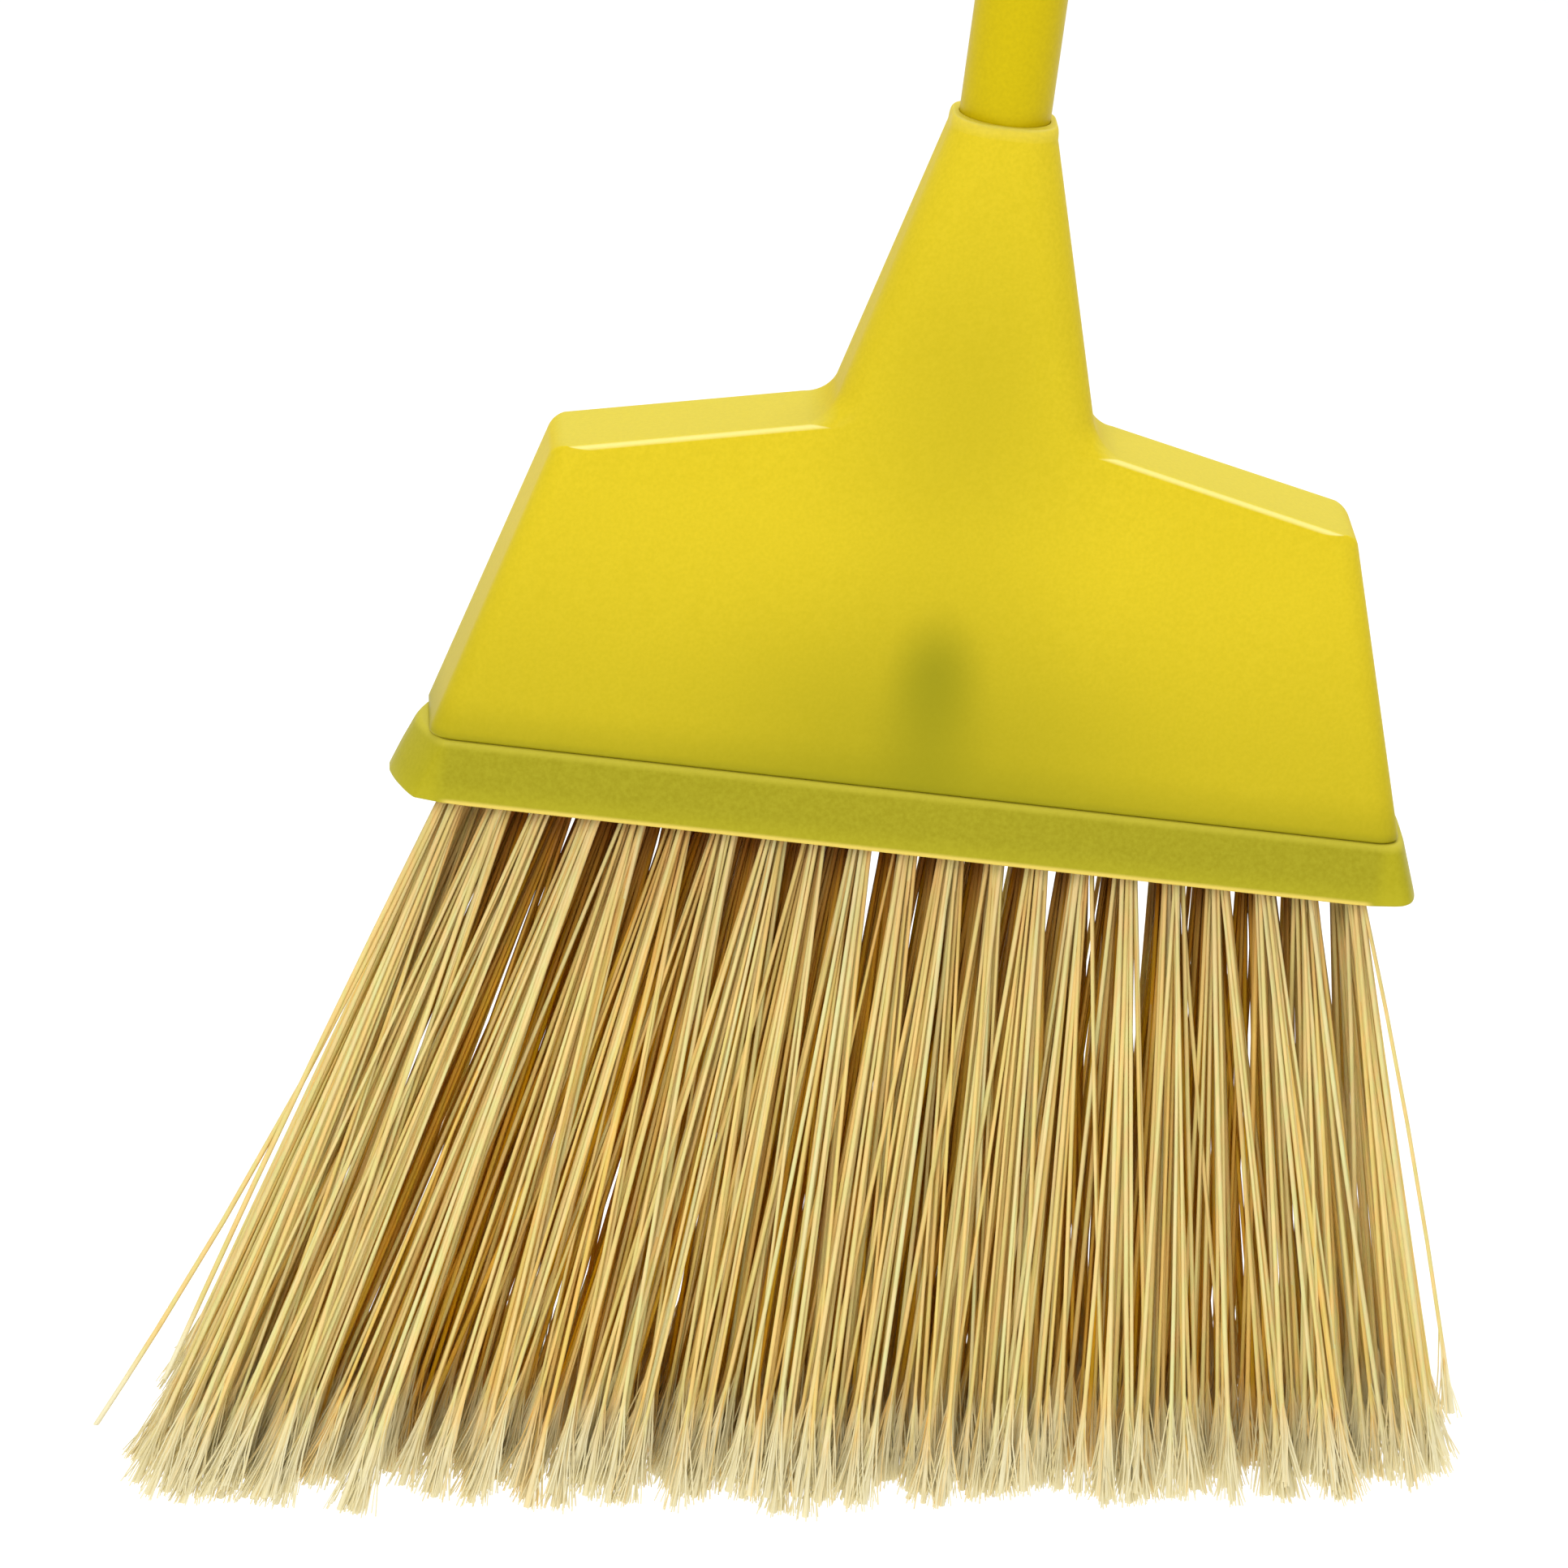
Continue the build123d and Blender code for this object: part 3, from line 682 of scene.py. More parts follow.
def make_tufts(row):
    """All of a row in one piece: fibres, their hairs and the melted strip, with depth for painted shade and
    way down as UV.
    """
    name = ROW_NAMES[row]
    rng = np.random.default_rng(FIRST_SEED + row)
    paths = fibre_paths(row, rng)
    flagged = len(paths)
    if row == 0:
        paths = np.concatenate([paths, stray_paths()])
        flagged += FLAGGED_STRAYS
    thickness = rng.uniform(*FIBRE_RADIUS, (len(paths), 1))
    radius = thickness * np.interp(FIBRE_STATIONS, [0, FLAG_START, 1], [1, 1, TIP_SWELL])
    radius[flagged:] = STRAY_RADIUS
    depth_shade_tint = depth_shade_tints(paths, rng)
    depth_shade_tint[flagged:] = STRAY_SHADE_TINT
    hairs, owners = hair_paths(paths[:flagged], rng)
    hair_radius = HAIR_RADIUS * rng.uniform(*HAIR_UNEVEN, (len(hairs), 1)) * HAIR_TAPER
    hair_depth_shade_tint = np.clip(depth_shade_tint[owners] + rng.normal(0, HAIR_TINT_SCATTER, len(owners)), 0, 1)
    strip = melted_strip(name)
    forms = [tubes(paths, radius, FIBRE_SIDES), tubes(hairs, hair_radius, HAIR_SIDES), strip]
    shares = [
        tube_shares(depth_shade_tint, FIBRE_STATIONS, FIBRE_SIDES),
        tube_shares(hair_depth_shade_tint, HAIR_WAY, HAIR_SIDES),
        np.full((len(strip[0]), 2), STRIP_SHARES),
    ]
    tufts = put_piece(f"{name}_tufts", *joined(forms), crease=80.0, uv=np.concatenate(shares))
    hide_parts(f"bristle_row_{name}")
    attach(tufts, "head")
    return tufts


tuft_rows = [make_tufts(row) for row in range(len(ROW_NAMES))]

# %% [markdown]
# ## Handle
# The handle is a steel tube with a thin vinyl sleeve shrunk over it. Only the sleeve shows. A lathe
# profile swept round the axis gives it and the screw tip at its foot. The tip's thread is a height
# field on a cylinder: the radius rises where the way up, counted in turns of the thread, agrees with
# the angle. The tab at the top is a ring of sections round its hanging hole.

# %% Sleeve and screw tip
HANDLE_COLUMNS = 72
SLEEVE_WALL = 0.4
SLEEVE_EDGE = 0.15
THREAD_RINGS = 72
THREAD_LEAD = 25.4 / 5
THREAD_DEPTH = 1.3
THREAD_FLANK = 0.9
THREAD_LEAD_IN = 2.5
TIP_NOSE = 1.2
TIP_CORE_RADIUS = 6.0
TIP_FLOOR = 5.0
PLUG_RADIUS = 9.9
PLUG_EDGE = 0.8
around = 2 * np.pi * np.arange(HANDLE_COLUMNS) / HANDLE_COLUMNS


def make_sleeve():
    """A long thin pipe: up the outside, over a small round edge, and down the inside."""
    rise, draw = quarter_turn(steps=3)
    low, high = sleeve_low[2], sleeve_high[2]
    height = np.concatenate([low + SLEEVE_EDGE * draw, high - SLEEVE_EDGE * (1 - rise), [high, low]])
    inset = np.concatenate([SLEEVE_EDGE * (1 - rise), SLEEVE_EDGE * draw, [SLEEVE_WALL, SLEEVE_WALL]])
    rings = round_rings(height, handle_radius - inset, around)
    return put_piece("sleeve", rings, stack_faces(rings, looped=True))


def make_tip():
    """A right-hand thread on a hollow moulded plug, its crest where height over lead is angle over turn."""
    foot, top, sleeve_foot = tip_low[2], tip_high[2], sleeve_low[2]
    thread_z = np.linspace(foot, ledge, THREAD_RINGS)[:, None]
    turns = (thread_z - foot) / THREAD_LEAD - around / (2 * np.pi)
    ridge = np.clip(0.5 + THREAD_FLANK * np.cos(2 * np.pi * turns), 0, 1)
    lead_in = np.clip((thread_z - foot) / THREAD_LEAD_IN, 0, 1)
    core = THREAD_RADIUS - THREAD_DEPTH
    thread_r = core - TIP_NOSE * (1 - lead_in) + THREAD_DEPTH * ridge * lead_in
    thread = stacked(thread_r * np.cos(around), thread_r * np.sin(around), thread_z)
    collar = tip_high[0]
    plug_z = [ledge, sleeve_foot, sleeve_foot, top - PLUG_EDGE, top, top, foot + TIP_FLOOR]
    plug_r = [collar] * 2 + [PLUG_RADIUS] * 2 + [PLUG_RADIUS - PLUG_EDGE] + [TIP_CORE_RADIUS] * 2
    rings = np.concatenate([thread, round_rings(plug_z, plug_r, around)])
    return put_piece("screw_tip", rings, stack_faces(rings))


sleeve = make_sleeve()
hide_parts("handle_sleeve")
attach(sleeve, "handle")
screw_tip = make_tip()
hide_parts("threaded_tip")
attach(screw_tip, "handle")

# %% The hanger on top
HANGER_THICKNESS = 11.0
HANGER_NECK = 7.0
PLUG_LEAD_IN = 1.0
DOME_RISE = 3.0
DOME_DRAW = 4.0
HANG_HOLE_RADIUS = 4.0
HANG_HOLE_TO_TOP = 12.0
TAB_COLUMNS = 120
TAB_EDGE = 1.2
HOLE_EDGE = 0.8
SIDE_END, CROWN_END, FOOT_START = 0.2, 0.7, 0.9
hanger_low, hanger_high = node_box("hanger_cap")


def tab_outline(inset, shares):
    """Once round the tab, anticlockwise from the foot of its right side: side, half circle, side, foot."""
    radius = hanger_high[0] - inset
    crown = hanger_high[2] - hanger_high[0]
    foot = sleeve_high[2] + HANGER_NECK / 2
    swing = np.pi * np.clip((shares - SIDE_END) / (CROWN_END - SIDE_END), 0, 1)
    along_foot = radius * np.interp(shares, [FOOT_START, 1.0], [-1, 1])
    x = np.where(shares > FOOT_START, along_foot, radius * np.cos(swing))
    corners = [0, SIDE_END, CROWN_END, FOOT_START, 1.0]
    straight = np.interp(shares, corners, [foot, crown, crown, foot, foot])
    return x, straight + radius * np.sin(swing)


def edge_sections(edge):
    """Depths of a round edge and how far its sections draw in, from one face of the tab to the other."""
    rise, draw = quarter_turn(steps=5)
    depth = HANGER_THICKNESS / 2 - edge * draw
    inset = edge * (1 - rise)
    return np.concatenate([depth, -depth[::-1]])[:, None], np.concatenate([inset, inset[::-1]])[:, None]


def make_hanger():
    """Two closed forms in one piece: a plug with a domed collar, and a tab whose sections ring its hole."""
    foot, top, collar = hanger_low[2], sleeve_high[2], hanger_high[0]
    rise, draw = quarter_turn(steps=5)
    dome_z = top + HANGER_NECK - DOME_RISE + DOME_RISE * rise
    lathe_z = np.concatenate([[foot, foot + PLUG_LEAD_IN, top, top], dome_z])
    plug_r = [PLUG_RADIUS - PLUG_LEAD_IN, PLUG_RADIUS, PLUG_RADIUS, collar]
    lathe = round_rings(lathe_z, np.concatenate([plug_r, collar - DOME_DRAW * draw]), around)
    shares = np.arange(TAB_COLUMNS) / TAB_COLUMNS
    depth, inset = edge_sections(TAB_EDGE)
    x, z = tab_outline(inset, shares)
    reach = np.sqrt(collar**2 - depth**2)
    outside = stacked(np.clip(x, -reach, reach), -depth, z)
    hole_height = hanger_high[2] - HANG_HOLE_TO_TOP
    middle_x, middle_z = tab_outline(0.0, shares)
    angle = np.arctan2(middle_z - hole_height, middle_x)
    depth, flare = edge_sections(HOLE_EDGE)
    radius = HANG_HOLE_RADIUS + flare
    hole = stacked(radius * np.cos(angle), depth, hole_height + radius * np.sin(angle))
    tab = np.concatenate([outside, hole])
    forms = [(lathe, stack_faces(lathe)), (tab, stack_faces(tab, looped=True))]
    return put_piece("hanger_tab", *joined(forms))


hanger = make_hanger()
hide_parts("hanger_cap")
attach(hanger, "handle")

# %% [markdown]
# ## Finishes
# Every finish starts from what the real material is. Colours are sRGB values, as read off a screen, so
# one function turns them to the linear values that shaders use. Pattern sizes are real sizes: Object
# coordinates are in metres, so a noise on them is scaled by one over the width of its features. The
# grain of a moulding is finer than the picture can show, and so it is drawn about a millimetre wide.

# %% Node helpers
# Sockets of the Mix node when it mixes colours
FACTOR, COLOUR_A, COLOUR_B, MIXED = 0, 6, 7, 2


def linear(hex_colour):
    """An sRGB hex value as linear red, green, blue and alpha: the standard curve with its straight foot."""
    code = np.array([int(hex_colour[i : i + 2], 16) for i in (1, 3, 5)]) / 255
    value = np.where(code <= 0.04045, code / 12.92, ((code + 0.055) / 1.055) ** 2.4)
    return (*value.tolist(), 1.0)


def add(tree, kind, inputs=None, **settings):
    """Adds one node: settings are its own properties, and each input is a value or a socket to link."""
    node = tree.nodes.new(kind)
    for name, value in settings.items():
        setattr(node, name, value)
    for socket, value in (inputs or {}).items():
        if isinstance(value, bpy.types.NodeSocket):
            tree.links.new(value, node.inputs[socket])
        else:
            node.inputs[socket].default_value = value
    return node


def new_finish(name, constants):
    """A node material, its tree and its shader, which gets the values that are the same all over."""
    material = bpy.data.materials.new(name)
    material.use_nodes = True
    shader = material.node_tree.nodes["Principled BSDF"]
    for socket, value in constants.items():
        shader.inputs[socket].default_value = value
    return material, material.node_tree, shader


# %% Patterns and layers
def flecks(tree, width, length, detail):
    """A noise whose features have a width across the handle and a length along it, both in millimetres."""
    where = add(tree, "ShaderNodeTexCoord").outputs["Object"]
    per_metre = [1 / (width * MM), 1 / (width * MM), 1 / (length * MM)]
    scaled = add(tree, "ShaderNodeVectorMath", {0: where, 1: per_metre}, operation="MULTIPLY")
    noise = {"Vector": scaled.outputs["Vector"], "Scale": 1.0, "Detail": detail}
    return add(tree, "ShaderNodeTexNoise", noise).outputs["Fac"]


def layered(tree, colour, layers):
    """Tones laid over a colour: each takes the place of what is below by a share, which climbs between two
    values of what the tone follows."""
    for tone, steps in layers:
        share = add(tree, "ShaderNodeMapRange", steps).outputs["Result"]
        tones = {FACTOR: share, COLOUR_A: colour, COLOUR_B: linear(tone)}
        colour = add(tree, "ShaderNodeMix", tones, data_type="RGBA").outputs[MIXED]
    return colour


# %% [markdown]
# ### Plain mouldings
# The hanger and the screw tip are ordinary satin mouldings, and the sleeve is a smooth vinyl skin. They
# share one recipe with two tones of the pigment, a grain of their own size and a faint bump. The cap
# and the rim start from it too.


# %% Satin mouldings
def satin_finish(name, dark, light, grain_size, relief, roughness, ior, specular=0.07):
    """Two tones mixed by a fine noise, and a bump of the same noise, as high as the relief in millimetres."""
    constants = {"Roughness": roughness, "IOR": ior, "Specular IOR Level": specular}
    material, tree, shader = new_finish(name, constants)
    grain = flecks(tree, grain_size, grain_size, detail=3.0)
    colour = layered(tree, linear(dark), [(light, {"Value": grain, "From Min": 0.3, "From Max": 0.7})])
    bump = add(tree, "ShaderNodeBump", {"Strength": 0.25, "Distance": relief * MM, "Height": grain})
    tree.links.new(colour, shader.inputs["Base Color"])
    tree.links.new(bump.outputs["Normal"], shader.inputs["Normal"])
    return material


# Piece, real material, its two tones, grain size and relief in millimetres, roughness and IOR
SATIN_PIECES = [
    (sleeve, "vinyl, shrunk sleeve, yellow", "#C8B104", "#D0B907", 1.0, 0.03, 0.4, 1.54),
    (hanger, "polypropylene, moulded, yellow", "#C8B104", "#D0B907", 1.2, 0.05, 0.4, 1.49),
    (screw_tip, "nylon, moulded, dark", "#2A2C20", "#35372A", 0.8, 0.03, 0.45, 1.53),
]
for piece, *recipe in SATIN_PIECES:
    piece.data.materials.append(satin_finish(*recipe))

# %% [markdown]
# ### Translucent polypropylene of the cap
# Polypropylene is waxy and a little translucent. Its pigment shows as a fine grain and soft clouds, and
# whatever stands close behind the wall shows through as a soft shadow. Those shadows are painted into the
# colour: round the dark screw tip, the socket below it and the handle in the neck, and as painted shade
# that deepens down the panel to the block's wall along the seam. A true translucent wall would need many
# more light bounces, so each painted shadow is a smooth fall-off round the hidden thing, on front and back
# alike. Faces that look up are greyer and paler, from dust and from a painted sheen, and the sharp edges
# of the shoulders and the lip, where light gets through, carry a painted highlight.

# %% Cap finish
# Painted shadows: middle and half sizes along x and z in millimetres, and the share of light kept in the
# middle
PAINTED_SHADOWS = [
    {"middle": (0.5, 47.0), "half": (15.0, 20.0), "keep": 0.4},
    {"middle": (1.5, 32.0), "half": (18.0, 30.0), "keep": 0.5},
    {"middle": (0.0, 22.0), "half": (80.0, 62.0), "keep": 0.55},
    {"middle": (0.0, 110.0), "half": (50.0, 85.0), "keep": 0.75},
    {"middle": (0.0, 16.0), "half": (1000.0, 70.0), "keep": 0.66},
    {"middle": (0.0, 16.0), "half": (1000.0, 13.0), "keep": 0.6},
    {"middle": (0.0, 16.0), "half": (1000.0, 3.0), "keep": 0.5},
]
CLOUD_SIZE = 45.0
# How far faces that look up turn greyer and paler: partly dust, partly a painted sheen
DUST_AND_SHEEN = 0.35
TRANSLUCENCY = {"Subsurface Weight": 0.1, "Subsurface Radius": (3.0, 2.4, 0.3), "Subsurface Scale": MM}


def opened(material):
    """The tree, the shader and the present colour of a finish that is to get more layers."""
    shader = material.node_tree.nodes["Principled BSDF"]
    return material.node_tree, shader, shader.inputs["Base Color"].links[0].from_socket


def painted_shadow_share(tree, where, middle, half, keep):
    """Share of the light that a painted shadow keeps round something dark behind the wall. It grows from keep
    in the middle to 1 at the half sizes along x and z. Depth doesn't count."""
    middle_place = place(np.array([middle[0], 0.0, middle[1]])).tolist()
    scale = [1 / (half[0] * MM), 0.0, 1 / (half[1] * MM)]
    centred = add(tree, "ShaderNodeVectorMath", {0: where, 1: middle_place}, operation="SUBTRACT")
    scaled = add(tree, "ShaderNodeVectorMath", {0: centred.outputs["Vector"], 1: scale}, operation="MULTIPLY")
    distance = add(tree, "ShaderNodeVectorMath", {0: scaled.outputs["Vector"]}, operation="LENGTH")
    steps = {"Value": distance.outputs["Value"], "To Min": keep, "To Max": 1.0}
    return add(tree, "ShaderNodeMapRange", steps, interpolation_type="SMOOTHSTEP").outputs["Result"]


def cap_finish():
    """The satin recipe in yellow with clouds over it, painted shadows darker and greener where something
    stands behind the wall, dust and a painted sheen on faces that look up, and a painted highlight where the
    UV marks an edge."""
    name = "polypropylene, moulded, translucent yellow"
    material = satin_finish(name, "#DBC321", "#E4CB28", 1.0, 0.05, roughness=0.42, ior=1.49, specular=0.06)
    tree, shader, colour = opened(material)
    where = add(tree, "ShaderNodeTexCoord").outputs["Object"]
    kept = 1.0
    for shadow in PAINTED_SHADOWS:
        factors = {0: painted_shadow_share(tree, where, **shadow), 1: kept}
        kept = add(tree, "ShaderNodeMath", factors, operation="MULTIPLY").outputs["Value"]
    cloud = flecks(tree, CLOUD_SIZE, CLOUD_SIZE, detail=2.0)
    normal = add(tree, "ShaderNodeNewGeometry").outputs["Normal"]
    upward = add(tree, "ShaderNodeSeparateXYZ", {"Vector": normal}).outputs["Z"]
    shares = add(tree, "ShaderNodeUVMap", uv_map="shares").outputs["UV"]
    edge = add(tree, "ShaderNodeSeparateXYZ", {"Vector": shares}).outputs["X"]
    # Painted tones over the grain: clouds of pigment, the painted shadows, dust with a painted sheen, and a
    # painted highlight
    layers = [
        ("#D6BE21", {"Value": cloud, "From Min": 0.3, "From Max": 0.7, "To Max": 0.25}),
        ("#908C14", {"Value": kept, "To Min": 1.0, "To Max": 0.0}),
        ("#B7B55A", {"Value": upward, "From Min": 0.6, "From Max": 0.95, "To Max": DUST_AND_SHEEN}),
        ("#FFF7A8", {"Value": edge, "From Min": HIGHLIGHT_START, "To Max": 0.6}),
    ]
    tree.links.new(layered(tree, colour, layers), shader.inputs["Base Color"])
    for socket, value in TRANSLUCENCY.items():
        shader.inputs[socket].default_value = value
    return material


cap.data.materials.append(cap_finish())

# %% [markdown]
# ### Olive polypropylene of the rim
# The rim is the same waxy plastic with a green pigment. Behind most of it stand the plate and the tufts,
# so it looks deep. Light gets through where the wall has nothing behind it: at the bowed ends and along
# the ledge. Its round foot also takes up warm light from the bristles below. That light is painted: each
# is a band along one coordinate, with a soft edge, that mixes in a lighter tone.

# %% Rim finish
# Painted light: share, lighter tone, and the bands along X or Z in millimetres that it follows
PAINTED_RIM_LIGHT = [
    {"share": 0.3, "tone": "#CCBF1E", "bands": [("X", 113.5, 118.5)]},
    {"share": 0.3, "tone": "#C4BA2A", "bands": [("Z", 7.0, 1.0)]},
    {"share": 0.6, "tone": "#CCC040", "bands": [("Z", 13.8, 15.6)]},
    {"share": 0.85, "tone": "#F3D76A", "bands": [("Z", 1.7, 0.6), ("X", 116.0, 113.0)]},
]


def band_share(tree, where, axis, start, end):
    """Grows from 0 to 1 between two distances along an axis: from the middle for X, above the foot for Z."""
    centred = add(tree, "ShaderNodeVectorMath", {0: where, 1: (0.0, 0.0, rim_foot)}, operation="SUBTRACT")
    outward = add(tree, "ShaderNodeVectorMath", {0: centred.outputs["Vector"]}, operation="ABSOLUTE")
    along = add(tree, "ShaderNodeSeparateXYZ", {"Vector": outward.outputs["Vector"]}).outputs[axis]
    steps = {"Value": along, "From Min": start * MM, "From Max": end * MM}
    return add(tree, "ShaderNodeMapRange", steps, interpolation_type="SMOOTHSTEP").outputs["Result"]


def rim_finish():
    """The satin recipe in two olive tones, with painted light: a lighter tone mixed in by every band."""
    name = "polypropylene, moulded, olive"
    material = satin_finish(name, "#9F961B", "#AAA124", 1.0, 0.05, roughness=0.42, ior=1.49)
    tree, shader, colour = opened(material)
    where = add(tree, "ShaderNodeTexCoord").outputs["Object"]
    for rim_light in PAINTED_RIM_LIGHT:
        factor = rim_light["share"]
        for band in rim_light["bands"]:
            factors = {0: band_share(tree, where, *band), 1: factor}
            factor = add(tree, "ShaderNodeMath", factors, operation="MULTIPLY").outputs["Value"]
        colour = layered(tree, colour, [(rim_light["tone"], {"Value": factor})])
    tree.links.new(colour, shader.inputs["Base Color"])
    return material


block.data.materials.append(rim_finish())

# %% [markdown]
# ### Drawn fibre
# The fibres are drawn through a die, so their streaks run lengthways. They are slightly translucent, so
# light that has passed through several of them turns amber. That is painted: fibres inside the brush get a
# deeper amber than those outside, and near the plate, where hardly any light gets in, a painted red brown
# shade. How deep a fibre lies is the UV's first value. The second runs from root to tip, because the
# split hairs at the tip scatter more light and look paler.


# %% Fibre finish
def fibre_finish():
    """Straw from painted deep amber inside the brush to light straw outside, streaked lengthways in two hues,
    with painted red brown shade at inner roots and paler at the tips.
    """
    constants = {"Roughness": 0.45, "IOR": 1.49, "Specular IOR Level": 0.06}
    material, tree, shader = new_finish("polypropylene fibre, drawn, straw", constants)
    shares = add(tree, "ShaderNodeUVMap", uv_map="shares").outputs["UV"]
    parts = add(tree, "ShaderNodeSeparateXYZ", {"Vector": shares}).outputs
    depth_shade_tint, way = parts["X"], parts["Y"]
    streak = flecks(tree, width=2.0, length=30.0, detail=2.0)
    batch = flecks(tree, width=1.4, length=160.0, detail=0.0)
    # Painted depth shade from deep amber to light straw, then real lengthways streaks
    depth_shade_and_streak = [
        ("#F2E6B8", {"Value": depth_shade_tint}),
        ("#CFAA50", {"Value": streak, "From Min": 0.35, "From Max": 0.7, "To Max": 0.2}),
    ]
    straw = layered(tree, linear("#FCBC14"), depth_shade_and_streak)
    batches = {"Value": batch, "From Min": 0.35, "From Max": 0.65}
    hue = layered(tree, linear("#F4FFE6"), [("#FFFAE6", batches)])
    shade_and_dye = {FACTOR: 1.0, COLOUR_A: straw, COLOUR_B: hue}
    shaded_and_dyed = add(tree, "ShaderNodeMix", shade_and_dye, data_type="RGBA", blend_type="MULTIPLY").outputs[MIXED]
    # Painted shade: red brown at the roots, strongest for fibres deep in the brush
    root = {"Value": way, "From Min": 0.08, "From Max": 0.34, "To Min": 0.85, "To Max": 0.0}
    deep = {"Value": depth_shade_tint, "From Min": 0.3, "From Max": 0.7, "To Min": 1.0, "To Max": 0.24}
    root_share = add(tree, "ShaderNodeMapRange", root).outputs["Result"]
    deep_share = add(tree, "ShaderNodeMapRange", deep).outputs["Result"]
    shade = add(tree, "ShaderNodeMath", {0: root_share, 1: deep_share}, operation="MULTIPLY").outputs["Value"]
    root_shaded = layered(tree, shaded_and_dyed, [("#8A2C08", {"Value": shade})])
    # Flagged tips: warmer deep in the brush, a painted shade, and lighter outside
    outer = {"Value": depth_shade_tint, "From Min": 0.05, "From Max": 0.6}
    flags = layered(tree, linear("#F4D286"), [("#F3E9BF", outer)])
    tip = {"Value": way, "From Min": 0.86, "From Max": 0.96}
    tip_share = add(tree, "ShaderNodeMapRange", tip, interpolation_type="SMOOTHSTEP").outputs["Result"]
    tips = {FACTOR: tip_share, COLOUR_A: root_shaded, COLOUR_B: flags}
    tipped = add(tree, "ShaderNodeMix", tips, data_type="RGBA").outputs[MIXED]
    tree.links.new(tipped, shader.inputs["Base Color"])
    return material


straw_fibre = fibre_finish()
for tufts in tuft_rows:
    tufts.data.materials.append(straw_fibre)

# %% [markdown]
# ### Steel of the tube
# The tube inside the sleeve is rolled and welded steel strip. It hides in the sleeve and keeps its CAD
# shape, so it only needs a plain metal with faint rolling streaks along its length.


# %% Steel finish
def steel_finish():
    """Grey metal whose tone and roughness follow a noise drawn out along the tube."""
    material, tree, shader = new_finish("mild steel, cold rolled", {"Metallic": 1.0})
    streak = flecks(tree, width=0.8, length=80.0, detail=3.0)
    rough = add(tree, "ShaderNodeMapRange", {"Value": streak, "To Min": 0.3, "To Max": 0.5})
    colour = layered(tree, linear("#B9B9B6"), [("#C6C6C4", {"Value": streak})])
    tree.links.new(colour, shader.inputs["Base Color"])
    tree.links.new(rough.outputs["Result"], shader.inputs["Roughness"])
    return material


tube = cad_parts["handle_tube"]
tube.data.materials.clear()
tube.data.materials.append(steel_finish())
print(len(bpy.data.materials), "materials")

# %% [markdown]
# ## Studio
# The broom hangs a little above a pale floor, in front of a camera with a long lens that looks down on
# it and is turned a few degrees about its own line of sight. The light is that of a white tent: an even
# surround, a soft light from the upper left, a weaker one from the right and a wide one overhead.

# %% Floor
FLOOR_BELOW_TIPS = 0.14
FLOOR_HALF = 30.0
floor_height = cad_box[0].z - FLOOR_BELOW_TIPS
floor_sides = [(-1, -1), (1, -1), (1, 1), (-1, 1)]
floor_corners = [(FLOOR_HALF * x, FLOOR_HALF * y, floor_height) for x, y in floor_sides]
floor_mesh = bpy.data.meshes.new("floor")
floor_mesh.from_pydata(floor_corners, [], [(0, 1, 2, 3)])
floor = bpy.data.objects.new("floor", floor_mesh)
bpy.context.scene.collection.objects.link(floor)
paint = satin_finish("floor paint, matt white", "#FDFDFD", "#FFFFFF", 3.0, 0.01, roughness=0.9, ior=1.45)
floor.data.materials.append(paint)
floor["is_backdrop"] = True

# %% Light
TENT_STRENGTH = 0.5
world = bpy.data.worlds.new("white tent")
world.use_nodes = True
tent = world.node_tree.nodes["Background"].inputs
tent["Color"].default_value = linear("#FFFFFF")
tent["Strength"].default_value = TENT_STRENGTH
bpy.context.scene.world = world
head_middle = Vector((0.0, 0.0, rim_foot))


def soft_light(name, offset, size, power):
    """A square area light that stands off the head and faces it."""
    data = bpy.data.lights.new(name, "AREA")
    data.size = size
    data.energy = power
    light = bpy.data.objects.new(name, data)
    light.location = head_middle + Vector(offset)
    light.rotation_euler = (-Vector(offset)).to_track_quat("-Z", "Y").to_euler()
    bpy.context.scene.collection.objects.link(light)


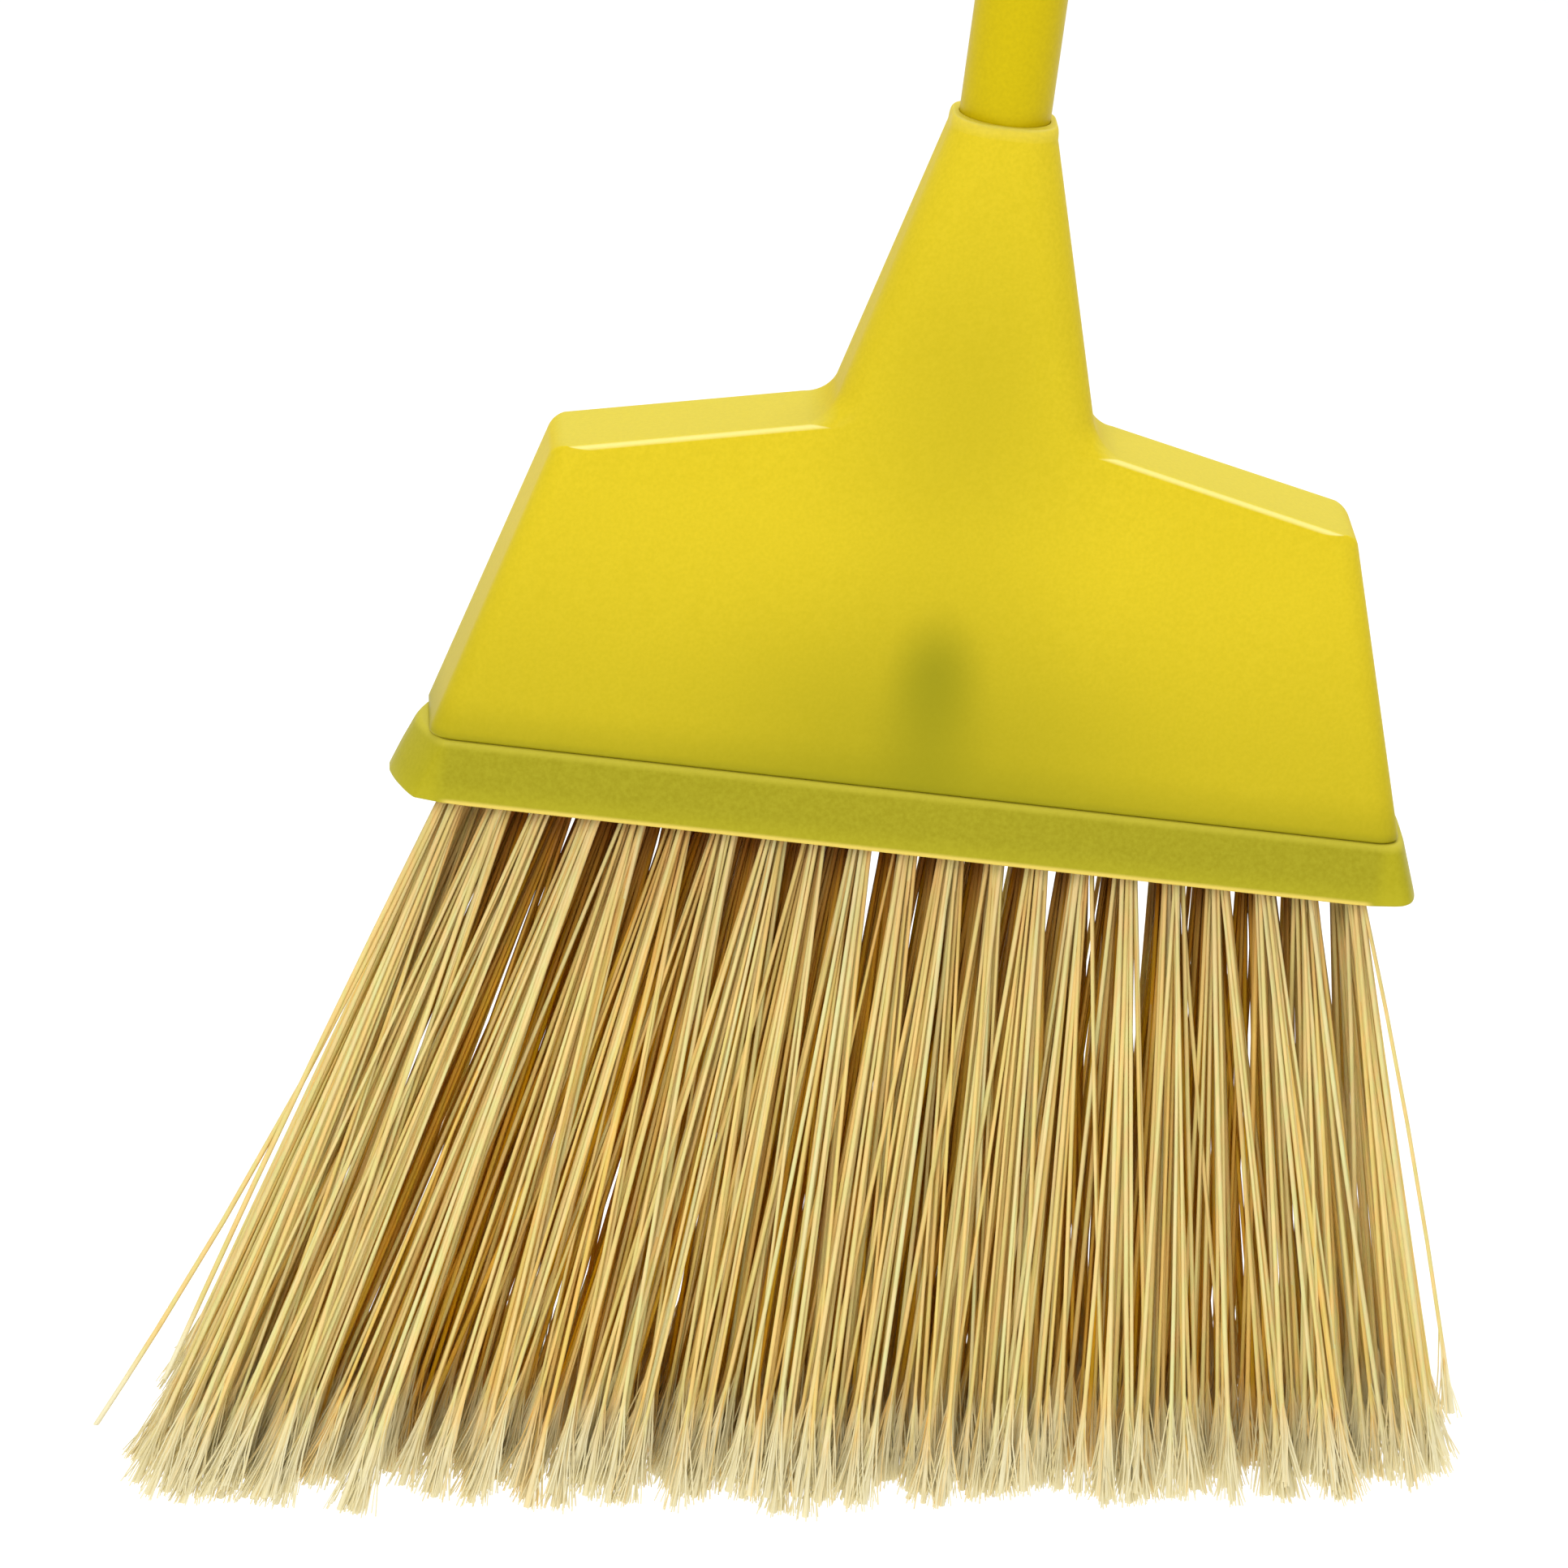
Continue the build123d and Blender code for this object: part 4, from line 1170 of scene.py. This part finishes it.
soft_light("key from the upper left", offset=(-0.9, -2.1, 1.7), size=1.4, power=34.0)
soft_light("fill from the right", offset=(2.2, -1.6, 0.8), size=1.6, power=6.0)
soft_light("overhead, a little behind", offset=(0.25, 1.2, 2.7), size=3.0, power=77.0)

# %% [markdown]
# ## Camera
# Place, direction and turn were solved from the head's edges in the picture, with the CAD sizes as the
# known lengths. Straight edges that hardly converge call for a long lens, so the focal length is that of
# a telephoto. The axes are worked out from three angles and written into the camera's matrix.

# %% Camera
CAMERA_PLACE = Vector((-0.219915, -2.271830, -0.495852))
CAMERA_AZIMUTH = np.radians(4.757985)
CAMERA_LOOK_DOWN = np.radians(17.793664)
CAMERA_ROLL = np.radians(-7.851585)
CAMERA_LENS = 223.6
CAMERA_SENSOR = 36.0

forward = Vector(
    (
        np.sin(CAMERA_AZIMUTH) * np.cos(CAMERA_LOOK_DOWN),
        np.cos(CAMERA_AZIMUTH) * np.cos(CAMERA_LOOK_DOWN),
        -np.sin(CAMERA_LOOK_DOWN),
    )
)
level = Vector((np.cos(CAMERA_AZIMUTH), -np.sin(CAMERA_AZIMUTH), 0.0))
lift = level.cross(forward)
right = np.cos(CAMERA_ROLL) * level - np.sin(CAMERA_ROLL) * lift
up = np.sin(CAMERA_ROLL) * level + np.cos(CAMERA_ROLL) * lift
turn = Matrix((right, up, -forward)).transposed().to_4x4()

camera_data = bpy.data.cameras.new("camera")
camera_data.lens = CAMERA_LENS
camera_data.sensor_width = CAMERA_SENSOR
camera = bpy.data.objects.new("camera", camera_data)
camera.matrix_world = Matrix.Translation(CAMERA_PLACE) @ turn
bpy.context.scene.collection.objects.link(camera)
bpy.context.scene.camera = camera
bpy.context.scene.view_settings.view_transform = "Standard"
print("camera looks along", [round(v, 3) for v in forward])

# %% [markdown]
# ## Finish
# Both boxes are printed, the CAD model's and the dressed broom's; fibres may make the second stand a
# little proud of the first. The dressed broom has to stay in the CAD model's box, apart from a little
# that fibres may stand proud.

# %% Print both boxes
boxes = {"cad": cad_box, "visual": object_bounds()}
for name, box in boxes.items():
    print(name, "box in millimetres:", [[round(v / MM, 1) for v in corner] for corner in box])
